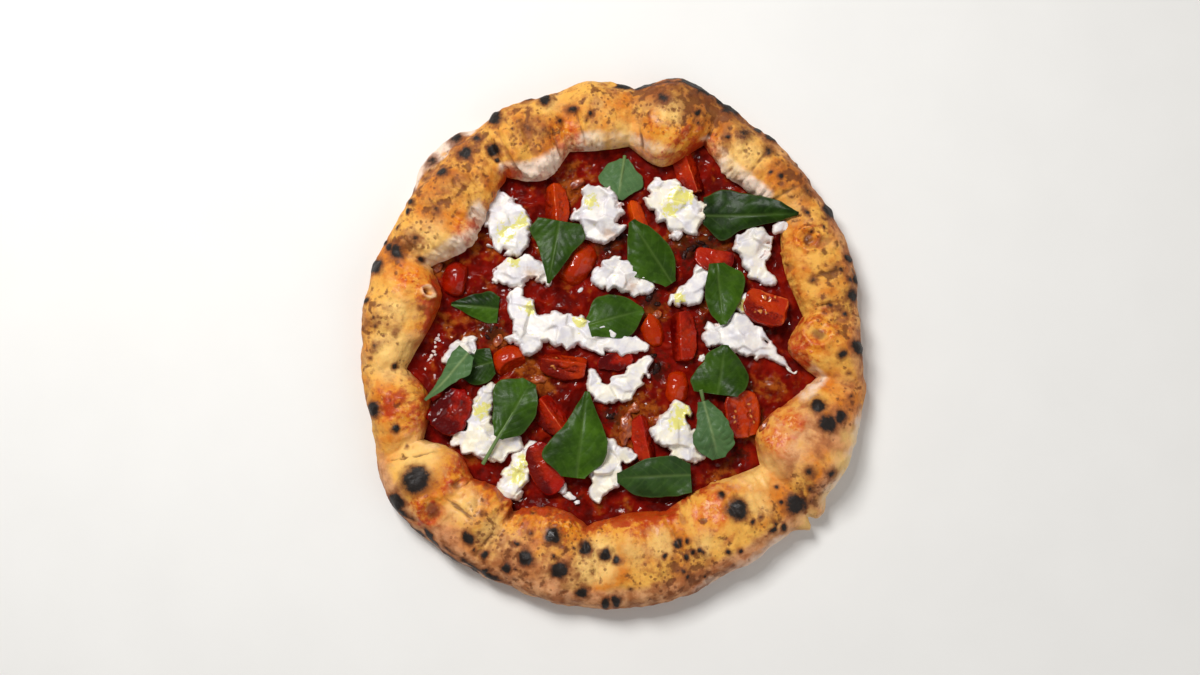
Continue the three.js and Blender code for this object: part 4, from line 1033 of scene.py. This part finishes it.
def torn_planes(x, y, size, seed):
    """Flat facets of a torn surface, 0 to about 1: the plan is parted among random points a size apart, each
    with its own height and tilt, and the nearest points' planes are mixed by e^-(d - least d)."""
    draw = np.random.default_rng(seed)
    low, high = (x.min(), y.min()), (x.max(), y.max())
    count = int((high[0] - low[0]) * (high[1] - low[1]) / size ** 2) + 3
    places = draw.uniform(low, high, (count, 2))
    heights, tilts = draw.uniform(0, 1, count), draw.normal(0, PLANE_TILT, (count, 2))
    away = np.stack([x[..., None] - places[:, 0], y[..., None] - places[:, 1]], -1)
    distance = np.hypot(away[..., 0], away[..., 1])
    weight = np.exp(-(distance - distance.min(-1, keepdims=True)) / PLANE_SOFTNESS)
    planes = heights + (away * tilts).sum(-1)
    return (planes * weight).sum(-1) / weight.sum(-1)


def curd_shape(number, strands):
    """A torn piece of mozzarella: a cushion over a ragged outline with teeth, its top torn into planes."""
    ends = np.array([point for strand in strands for point in strand])
    low = (ends[:, :2] - ends[:, 2:]).min(0) - CURD_MARGIN
    high = (ends[:, :2] + ends[:, 2:]).max(0) + CURD_MARGIN
    x, y = np.meshgrid(np.arange(low[0], high[0], CURD_STEP), np.arange(low[1], high[1], CURD_STEP))
    depth, thickness = curd_field(x, y, strands)
    width = np.clip(thickness / CURD_THICKNESS, 0.3, 1)
    jags = 3.0 * (torn_planes(x, y, 6.5, number + 40) - 0.5)
    jags = jags + 1.5 * (torn_planes(x, y, 2.6, number + 70) - 0.5)
    ragged = jags + 1.0 * plan_noise(x, y, 9, number) + 0.4 * plan_noise(x, y, 2.8, number + 50)
    depth = depth + width * (ragged + 0.35 * plan_noise(x, y, 1.4, number + 90))
    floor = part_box(f"mozzarella_{number}")[0].z / MM
    body = rounded(depth / np.maximum(CURD_EDGE * width, 1.5))
    torn = 1.8 * (torn_planes(x, y, 11, number) - 0.55)
    torn = torn + 0.35 * (torn_planes(x, y, 4.5, number + 20) - 0.5)
    lumps = torn + 0.3 * plan_noise(x, y, 8, number + 10) + 0.1 * plan_noise(x, y, 1.8, number + 30)
    side = CURD_SIDE * thickness
    top = floor + side + (thickness - side) * body + lumps * width * smooth(depth, 0.3, 3.0)
    bottom = floor + side * (1 - rounded(depth / 3))
    oil, brown = (
        nearness(x, y, [[*spot, 1] for piece, *spot in table if piece == number])
        for table in (OIL_POOLS, BROWNED)
    )
    warm = np.full_like(x, CREAMY.get(number, USUAL_WARMTH))
    marks = {"oil": oil, "brown": brown, "thin": 1 - smooth(depth, 0, THIN_EDGE), "warm": warm}
    return two_sheets(x, y, depth, np.maximum(top, bottom + 0.2), bottom, marks)


# ---------- cherry tomatoes ----------

TOMATO_ROWS = 76
TOMATO_COLUMNS = 84
TOMATO_END = 0.015  # share of the half turn that is left open at each end
CUT_FACES = {"wedge": [(0, 1, 1), (0, -1, 1)], "half": [(0, 0, 1)], "dome": [(0, 0, -1)]}
CUT_MIDDLE = {"wedge": -0.3, "half": -0.2, "dome": 0.2}  # height of the rays' start, share of the width
CUT_SHARPNESS = 30.0  # the larger, the sharper the edge between two faces
HALVINGS = 30
# A seed is drawn between a least and a most: [share of the half length, of the half width, turn in radians].
SEED_LEAST, SEED_MOST = (-0.5, 0.3, 0), (0.6, 0.65, 3)
SEED_WIDTH, SEED_LENGTH = 0.95, 1.6


def barrel_reach(start, way, half):
    """How far each ray goes to the skin |x/a|^n + (r/b)^n = 1, found by halving the range."""
    low, high = np.zeros(way.shape[:2]), np.full(way.shape[:2], 2.5 * half.max())
    for _ in range(HALVINGS):
        middle = (low + high) / 2
        point = np.abs((start + way * middle[..., None]) / half)
        n = TOMATO_FULLNESS
        outside = point[..., 0] ** n + np.hypot(point[..., 1], point[..., 2]) ** n > 1
        low, high = np.where(outside, low, middle), np.where(outside, middle, high)
    return low


def tomato_shape(number, tomato):
    """A cut cherry tomato. From a point inside, each ray ends at the skin or at a cut face, whichever comes
    first, blended as (sum of d^-k)^(-1/k). Cut faces sag where the gel is, and seeds stand in it."""
    length, width = tomato["length"], tomato["width"]
    half = np.array([length, width, width]) / 2
    start = np.array([0, 0, CUT_MIDDLE[tomato["cut"]] * width])
    way = ways_round(TOMATO_ROWS, TOMATO_COLUMNS, TOMATO_END)
    reaches = [barrel_reach(start, way, half)]
    for *facing, reach in [(*face, 0) for face in CUT_FACES[tomato["cut"]]] + tomato.get("trims", []):
        outward = np.array(facing) / np.linalg.norm(facing)
        speed = np.maximum(way @ outward, 1e-3)
        reaches.append((reach - start @ outward) / speed)
    reaches = np.array(reaches)
    reach = (reaches ** -CUT_SHARPNESS).sum(0) ** (-1 / CUT_SHARPNESS)
    cut = smooth(reaches[0] - reaches[1:].min(0), 0.0, 0.7)
    nearest = np.sort(reaches, axis=0)
    rows = start + way * reach[..., None]

    along = rows[..., 0] / half[0]
    aside = np.linalg.norm(rows[..., 1:], axis=-1) / half[1]
    share = np.sqrt(along ** 2 + aside ** 2)
    uneven = noise(rows, 7, number)
    chamber = smooth(0.8 + 0.3 * uneven - share, 0, 0.15) * smooth(aside + 0.3 * uneven, 0.15, 0.4) * cut
    chamber = chamber * tomato.get("gel", 0.0)
    ridge = np.exp(-(((nearest[1] - nearest[0]) / 1.1) ** 2)) * cut
    ridge = ridge * smooth(noise(rows, 7, number + 4), -0.5, 0.3) * tomato.get("rim", 0.3)
    draw = np.random.default_rng(number)
    places = draw.uniform(SEED_LEAST, SEED_MOST, (tomato.get("seeds", 0), 3))
    seed = np.zeros_like(along)
    for seed_along, seed_aside, turn in places:
        off_along, off_aside = (along - seed_along) * half[0], (aside - seed_aside) * half[1]
        across = off_along * np.sin(turn) - off_aside * np.cos(turn)
        down = off_along * np.cos(turn) + off_aside * np.sin(turn)
        seed = np.maximum(seed, np.exp(-((across / SEED_WIDTH) ** 2) - (down / SEED_LENGTH) ** 2))
    seed = seed * chamber
    sunk = chamber * (1 + 1.6 * noise(rows, 3.6, number + 8)) - 0.8 * seed
    dents = 0.7 * uneven + 0.4 * noise(rows, 3.4, number + 5) + 0.4 * cut * noise(rows, 2.4, number + 9)
    dents = dents - tomato.get("wrinkles", 0) * (1 - 3 * np.abs(noise(rows, 6, number + 12)))
    rows = rows - way * (sunk * cut - dents)[..., None]

    y, z = turned(rows[..., 1], rows[..., 2], tomato["roll"])
    x, y = turned(rows[..., 0], y, tomato["heading"])
    middle = SAUCE_TOP - DOME_SINK if tomato["cut"] == "dome" else SAUCE_TOP - TOMATO_SINK + width / 2
    rows = np.stack([x + tomato["at"][0], y + tomato["at"][1], z + middle], -1)
    ripe = np.clip(tomato["ripe"] + 0.25 * noise(rows, 12, number), 0, 1)
    # Painted shade: each piece is darkened towards one side, as if that side faced away from the light. This
    # is added to the flesh's own deepening away from its middle.
    shaded_way = np.radians(tomato.get("dark_to", 0))
    shade_lean = (rows[..., :2] - tomato["at"]) @ (np.cos(shaded_way), np.sin(shaded_way)) / width
    deep = tomato.get("shade", 0.0) + 0.6 * aside + 1.3 * shade_lean * ("dark_to" in tomato)
    deep = np.clip(deep + 0.3 * noise(rows, 9, number + 6), 0, 1)
    marks = {"cut": cut, "gel": chamber, "seed": seed, "ripe": ripe, "ridge": ridge, "deep": deep}
    return closed_rows(rows, marks)


# ---------- basil ----------

LEAF_ROWS = 76
LEAF_SIDE = 40
USUAL_CRUMPLE = 1.3
SIDE_VEINS = 6
STEM_END = 0.45  # share of the midrib that a bare stalk runs up, where the leaf doesn't say
STEM_POINTS = 60
STEM_RADII = [1.25, 1.1, 0.35]  # at the end of the stalk, at the leaf's base and where it runs out
STEM_LIFT, LONG_STEM_LIFT = 0.1, 0.9  # how far the stalk stands above the solid
STEM_SMOOTHING = 13  # points over which its height is evened out


def spline(values, places):
    """Catmull-Rom curve through evenly spaced values, ends repeated, at places counted in steps."""
    values = np.asarray(values, float)
    last = len(values) - 1
    i = np.clip(np.floor(places).astype(int), 0, last)
    t = (places - i).reshape((-1,) + (1,) * (values.ndim - 1))
    before, here = values[np.maximum(i - 1, 0)], values[i]
    after, beyond = values[np.minimum(i + 1, last)], values[np.minimum(i + 2, last)]
    slope_here, slope_after = (after - before) / 2, (beyond - here) / 2
    cubic = 2 * here - 2 * after + slope_here + slope_after
    square = -3 * here + 3 * after - 2 * slope_here - slope_after
    return cubic * t ** 3 + square * t ** 2 + slope_here * t + here


def midrib_of(leaf):
    """Where the midrib starts, the way along it to the tip, and its length."""
    base = np.array(leaf["base"], float)
    midrib = np.array(leaf["tip"], float) - base
    return base, midrib, np.linalg.norm(midrib)


def leaf_plan(leaf, along, across):
    """Plan place of a point of a leaf by its shares along the midrib and across the half width."""
    base, midrib, length = midrib_of(leaf)
    sideways = np.array([-midrib[1], midrib[0]]) / length
    steps = np.clip(along, 0, 1) * (len(leaf["left"]) - 1)
    left, right = spline(leaf["left"], steps), spline(leaf["right"], steps)
    half = np.where(across < 0, right[:, None], left[:, None])
    return base + midrib * along[:, None, None] + sideways * (across * half)[..., None], half


def node_points(name):
    """Corners of a solid, in millimetres."""
    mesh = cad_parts[name].data
    co = np.empty(len(mesh.vertices) * 3)
    mesh.vertices.foreach_get("co", co)
    return co.reshape(-1, 3) / MM


def leaf_heights(number, leaf):
    """Heights of the leaf's solid at its cells, from the corners that lie over each cell."""
    along = np.arange(LEAF_STEPS) / (LEAF_STEPS - 1)
    plan, _ = leaf_plan(leaf, along, np.broadcast_to(LEAF_ACROSS, (LEAF_STEPS, len(LEAF_ACROSS))))
    corners = node_points(f"basil_leaf_{number}")
    distance = np.linalg.norm(plan[:, :, None] - corners[:, :2], axis=-1)
    near = distance < distance.min(-1, keepdims=True) + 0.05
    return np.where(near, corners[:, 2], -1e9).max(-1)


def leaf_shape(number, leaf):
    """A leaf over its solid's heights: its midrib is a groove above and a ridge beneath, its side veins are
    faint, the blade cups between them, and its edges wave."""
    along = np.linspace(0, 1, LEAF_ROWS)
    across_half = np.linspace(1, -1, LEAF_SIDE)
    across = np.broadcast_to(np.concatenate([across_half, across_half[::-1]]), (LEAF_ROWS, 2 * LEAF_SIDE))
    is_top = np.arange(2 * LEAF_SIDE) < LEAF_SIDE
    base, midrib_way, length = midrib_of(leaf)
    under = leaf.get("under", 0.0)
    plan, half = leaf_plan(leaf, along, across)
    heights = leaf_heights(number, leaf)
    lengthwise = spline(heights, along * (LEAF_STEPS - 1))
    steps = (across[0] + 1) / 2 * (len(LEAF_ACROSS) - 1)
    z = spline(lengthwise.T, steps).T

    aside = np.abs(across)
    reach = aside * half
    flow = along[:, None] * length + 0 * across
    place = np.stack([plan[..., 0], plan[..., 1], np.zeros_like(reach)], -1)
    phase = (flow - 0.95 * reach - 0.025 * reach ** 2) / (length / SIDE_VEINS)
    phase = phase + 0.35 * np.sign(across) + 0.22 * noise(place, 14, number + 7) + 0.1 * np.sin(number)
    off_vein = np.abs((phase % 1) - 0.5) * 2
    side_vein = smooth(off_vein, 0.86, 1.0) * smooth(aside, 1.0, 0.6)
    midrib = np.exp(-((reach / 0.8) ** 2)) * smooth(along, 1.05, 0.6)[:, None]
    vein = np.maximum(midrib, side_vein * 0.4)
    puff = 0.14 * np.sin(np.pi * (phase % 1)) * smooth(aside, 0.0, 0.4) * smooth(aside, 1.05, 0.6)
    cup = 0.7 * noise(place, 16, number + 11)
    wave = 1.2 * noise(place, 10, number) * across ** 2 + 0.35 * noise(place, 4, number + 3) * aside
    folds = leaf.get("crumpled", USUAL_CRUMPLE) * np.abs(noise(place, 7, number + 19))
    crumple = under * (folds + 0.5 * side_vein + 1.0 * midrib)
    relief = puff + cup + wave + crumple - 0.4 * midrib - 0.08 * side_vein
    rounding = np.sqrt(np.clip(1 - across ** 8, 0, 1)) * np.ones_like(z)
    top = z + 0.3 + relief
    thick = LEAF_THICKNESS * (0.25 + 0.75 * rounding)
    ragged = (0.03 + 0.09 * under) * noise(place, 5, number + 13)
    ragged = 1 + ragged * smooth(aside, 0.4, 1.0)
    middle = base + along[:, None, None] * midrib_way
    plan = middle + (plan - middle) * ragged[..., None]
    rows = np.stack([plan[..., 0], plan[..., 1], np.where(is_top, top, top - thick)], -1)
    left, right = leaf["tones"]
    dark = left + (right - left) * smooth(-across, -0.15, 0.15) + 0.25 * noise(place, 18, number + 17)
    beneath = np.where(is_top, under, 1 - under) * np.ones_like(z)
    marks = {"vein": vein, "under": beneath, "dark": np.clip(dark, 0, 1), "edge": smooth(aside, 0.7, 1.0)}
    return closed_rows(rows, marks)


TUBE_SIDES = 12


def tube(path, radii):
    """Circles square to a path, with the radius of each."""
    forward = np.gradient(path, axis=0)
    forward /= np.linalg.norm(forward, axis=1, keepdims=True)
    sideways = np.cross(forward, (0, 0, 1.0))
    sideways /= np.linalg.norm(sideways, axis=1, keepdims=True)
    up = np.cross(sideways, forward)
    turn = np.arange(TUBE_SIDES) * 2 * np.pi / TUBE_SIDES
    ring = -sideways[:, None] * np.cos(turn)[:, None] + up[:, None] * np.sin(turn)[:, None]
    return path[:, None] + ring * radii[:, None, None]


def stem_shape(number, leaf):
    """The bare stalk of a leaf, from its end to a little way up the midrib, tapering."""
    base, midrib, length = midrib_of(leaf)
    end = leaf.get("stem_to", STEM_END)
    along = np.linspace(-leaf["stem"] / length, end, STEM_POINTS)
    plan = base + midrib * along[:, None]
    corners = node_points(f"basil_leaf_{number}")
    shares = (corners[:, :2] - base) @ midrib / length ** 2
    middle = np.linalg.norm(corners[:, :2] - base - shares[:, None] * midrib, axis=1) < STALK_WIDTH
    order = np.argsort(shares[middle])
    z = np.interp(along, shares[middle][order], corners[middle][order, 2])
    window = np.ones(STEM_SMOOTHING) / STEM_SMOOTHING
    z = np.convolve(np.pad(z, STEM_SMOOTHING // 2, mode="edge"), window, "valid")
    z = z + (LONG_STEM_LIFT if "stem_to" in leaf else STEM_LIFT)
    rows = tube(np.column_stack([plan, z]), np.interp(along, [along[0], 0, end], STEM_RADII))
    return closed_rows(rows, even(rows, {"vein": 1, "under": 0.6, "dark": 0.1, "edge": 0}))


def leaf_with_stem(number, leaf):
    """A leaf and its bare stalk, if it has one."""
    blade = leaf_shape(number, leaf)
    return together([blade, stem_shape(number, leaf)]) if "stem" in leaf else blade


# ---------- crumbs and lumps ----------

# Small torn bits of cheese, then a froth of smaller ones: [x, y, length, width, direction].
CHEESE_CRUMBS = [
    [-87, 72, 4.5, 3.5, 20], [57, -10.5, 5, 4, 60], [-54, -30, 5, 4, 10], [-20, 33, 3.5, 2.5, 45],
    [-27, -97, 8, 4.5, -25], [-22, -101, 4, 2.5, 10], [46, 18, 3, 2, 30], [-36, -84, 3, 2, 0],
]
FROTH = [
    [-111, 2, 3, 2.4, 20], [-110, 4.5, 2, 1.6, 80], [-112.5, 0, 2.4, 1.6, 130], [-109.5, 1, 2, 1.4, 0],
    [-112, -3, 2.2, 1.5, 40], [-113, -6, 2.6, 2, 160], [-112, -8, 2, 1.5, 10], [-114.5, -9, 2.8, 2, 60],
    [-114, -12, 2.2, 1.6, 120], [-116, -11, 1.8, 1.4, 30], [-116, -14.5, 2.8, 2, 90],
    [-118, -17, 2, 1.6, 20],
]
# Threads of cheese: points [x, y] along each, then its radius.
CHEESE_THREADS = [
    [[(105, -11), (109, -14.5), (112, -18), (115, -20), (117, -18.5)], 0.7],
    [[(-58, -93), (-60, -97), (-58, -100), (-56, -99)], 0.6],
    [[(98, 41), (102, 38.5), (105, 38)], 0.7],
]
# Burnt bits of skin and herb in the sauce: [x, y, length, width, direction].
BURNT_BITS = [
    [51, 60, 9, 4, 30], [56, 64, 6, 3.5, -20], [46, 55, 6, 3, 80], [60, 61, 5, 2.5, 0],
    [-3, 60, 6, 3.5, 10], [24, 29, 7, 4, 60], [29, 24, 4, 3, 0], [28, -17, 8, 4, 70], [26, -9, 5, 3, 20],
    [-75, 8, 6, 4, 40], [-79, 3, 4, 2.5, -30], [0, -47, 6, 3.5, 15], [4, 66, 5, 3, 90], [62, 66, 5, 3, 45],
    [-90, -15, 4, 3, 0],
]
# Soft lumps of tomato in the sauce: [x, y, length, width, direction].
PULP_LUMPS = [
    [9, -54, 17, 9, 80], [-22, 102, 10, 7, 30], [-46, -24, 9, 6, 10], [14, -42, 8, 6, 40],
    [96, -55, 11, 7, 60], [30, -50, 8, 6, 0], [-72, 1, 8, 6, 70], [53, 70, 9, 6, 20], [28, 17, 7, 5, 30],
    [-112, 47, 8, 6, 50],
]
PEBBLE_ROWS = 20
PEBBLE_COLUMNS = 24
PEBBLE_END = 0.02  # share of the half turn that is left open at each end
THREAD_POINTS = 40
THREAD_SPREAD = 0.35  # how far a thread's radius changes along it


def lying_height(x, y):
    """Height of the sauce or the inner side of the rim at a plan point."""
    degrees, radius = np.degrees(np.arctan2(y, x)), np.hypot(x, y)
    inner = rim_at(np.atleast_1d(degrees))[0][0]
    return sauce_height(x, y) + 6 * max(0.0, radius - inner + 1) ** 0.5


def pebble(x, y, length, width, direction, seed, flat, sunk):
    """A small uneven lump: an ellipsoid with its radius changed by noise, lying on the sauce."""
    way = ways_round(PEBBLE_ROWS, PEBBLE_COLUMNS, PEBBLE_END)
    bumpy = 1 + 0.35 * noise(way + seed, 0.9, seed) + 0.2 * noise(way, 0.4, seed)
    rows = way * bumpy[..., None] * np.array([length, width, width * flat]) / 2
    plan_x, plan_y = turned(rows[..., 0], rows[..., 1], direction)
    height = lying_height(x, y) + width * flat / 2 * (1 - sunk)
    return np.stack([plan_x + x, plan_y + y, rows[..., 2] + height], -1)


def pebbles(table, seed, flat, sunk, marks):
    """All lumps of a table as one shape, with the same marks all over."""
    lumps = [pebble(*row, seed + k, flat, sunk) for k, row in enumerate(table)]
    return together([closed_rows(rows, even(rows, marks)) for rows in lumps])


def thread_shape(points, radius, marks):
    """A thread of cheese along a smooth curve through its points, thinner and thicker in turns."""
    places = np.linspace(0, len(points) - 1, THREAD_POINTS)
    plan = spline(points, places)
    z = np.array([lying_height(px, py) for px, py in plan]) + radius + 0.5
    radii = radius * (1 + THREAD_SPREAD * np.sin(places * 4)) * smooth(places[::-1], -0.6, 1.0)
    rows = tube(np.column_stack([plan, z]), radii)
    return closed_rows(rows, even(rows, marks))


def burnt_finish():
    """Charred bits: dull black-brown with reddish hollows."""
    f = Finish("burnt_bits")
    fine = f.clouds(1.2, 3.0, 4.0)
    tone = f.blend(fine.rise(0.35, 0.7), colour(12, 5, 3), colour(58, 16, 6))
    return f.surface(
        Base_Color=tone, Roughness=0.4 + fine * 0.2, Normal=f.bump(fine, 0.6, 0.8), Specular_IOR_Level=0.1,
        Coat_Weight=0.06, Coat_Roughness=0.1,
    )


def pulp_finish():
    """Soft lumps of tomato: brown-orange and wet."""
    f = Finish("tomato_pulp")
    middling, fine = f.clouds(4, 3.0), f.clouds(1.3, 8.0, 4.0)
    tone = f.blend(middling.rise(0.35, 0.65), colour(118, 38, 8), colour(172, 84, 28))
    tone = f.blend(fine.rise(0.5, 0.75) * 0.6, tone, colour(122, 18, 6))
    return f.surface(
        Base_Color=tone, Roughness=0.3 + fine * 0.15, Normal=f.bump(fine * 0.5 + middling, 0.7, 0.8),
        Coat_Weight=0.4, Coat_Roughness=0.1, Specular_IOR_Level=0.35,
    )


# ---------- the pizza ----------

dough = crust_finish()
sauce = sauce_finish()
tomato_flesh = tomato_finish()
cheese = mozzarella_finish()
basil = basil_finish()

make_piece("crust_baked", crust_shape(), dough, ["crust"])
make_piece("sauce_pulp", sauce_shape(), sauce, ["tomato_sauce"])
for kind, ending, table, shape_of, material, slot in [
    ("cherry_tomato", "cut", TOMATOES, tomato_shape, tomato_flesh, "tomato"),
    ("mozzarella", "torn", CURDS, curd_shape, cheese, "mozzarella"),
    ("basil_leaf", "blade", LEAVES, leaf_with_stem, basil, "basil"),
]:
    for number, row in enumerate(table, 1):
        name = f"{kind}_{number}"
        make_piece(f"{name}_{ending}", shape_of(number, row), material, [name])

cheese_marks = {"oil": 0.0, "brown": 0.0, "thin": 0.3, "warm": 0.3}
crumbs = pebbles(CHEESE_CRUMBS, 3, 0.7, 0.2, cheese_marks)
froth = pebbles(FROTH, 31, 0.6, 0.4, {**cheese_marks, "thin": 1.2})
threads = [thread_shape(points, radius, cheese_marks) for points, radius in CHEESE_THREADS]
make_piece("cheese_crumbs", together([crumbs, froth, *threads]), cheese)
make_piece("burnt_bits", pebbles(BURNT_BITS, 5, 0.5, 0.5, {}), burnt_finish())
make_piece("pulp_lumps", pebbles(PULP_LUMPS, 9, 0.6, 0.5, {}), pulp_finish())

# ---------- floor, light and camera ----------

FLOOR_HALF = 8.0
VIEW_CENTRE = Vector((-0.0076, 0.0022, 0.015))  # point of the pizza in the middle of the picture
VIEW_WIDTH = 0.756  # what the picture is wide at that point
VIEW_DISTANCE = 0.95
VIEW_TILT = np.radians(6)  # from straight down, towards the near side
SENSOR = 36.0

SURROUNDINGS = 0.22  # strength of the even light from all sides
# A soft light from the upper left, a small one beside it for the glints, and a broad weak one opposite:
# [name, place, width, power].
LIGHTS = [
    ["key_light", (-0.5, 0.6, 1.15), 0.45, 17],
    ["glint_light", (-0.25, 0.45, 1.3), 0.07, 2.4],
    ["fill_light", (0.9, -0.6, 0.9), 1.2, 5],
]


def lay_floor():
    """A wide pale floor under the pizza."""
    f = Finish("pale_floor")
    tone = f.blend(f.clouds(60), colour(226, 224, 220), colour(232, 230, 226))
    material = f.surface(Base_Color=tone, Roughness=0.7, Normal=f.bump(f.clouds(1.5), 0.05, 0.3))
    mesh = bpy.data.meshes.new("floor")
    h = FLOOR_HALF
    mesh.from_pydata([(-h, -h, 0), (h, -h, 0), (h, h, 0), (-h, h, 0)], [], [(0, 1, 2, 3)])
    mesh.materials.append(material)
    floor = put("floor", mesh)


def hang_light(name, place, size, power):
    """A square soft light aimed at the pizza."""
    data = bpy.data.lights.new(name, "AREA")
    data.size = size
    data.energy = power
    light = put(name, data)
    light.location = place
    light.rotation_euler = (-Vector(place)).to_track_quat("-Z", "Y").to_euler()


def set_camera():
    """Looks down from the near side, with the picture's width at the pizza given by the lens."""
    data = bpy.data.cameras.new("camera")
    data.sensor_width = SENSOR
    data.lens = SENSOR * VIEW_DISTANCE / VIEW_WIDTH
    camera = put("camera", data)
    back = Vector((0, -np.sin(VIEW_TILT), np.cos(VIEW_TILT)))
    camera.location = VIEW_CENTRE + VIEW_DISTANCE * back
    camera.rotation_euler = (VIEW_TILT, 0, 0)
    bpy.context.scene.camera = camera


def light_scene():
    """Even pale surroundings and the lights."""
    world = bpy.data.worlds.new("surroundings")
    world.use_nodes = True
    background = world.node_tree.nodes["Background"]
    background.inputs["Color"].default_value = (1, 1, 1, 1)
    background.inputs["Strength"].default_value = SURROUNDINGS
    bpy.context.scene.world = world
    for light in LIGHTS:
        hang_light(*light)


lay_floor()
light_scene()
set_camera()
bpy.context.scene.view_settings.view_transform = "Standard"
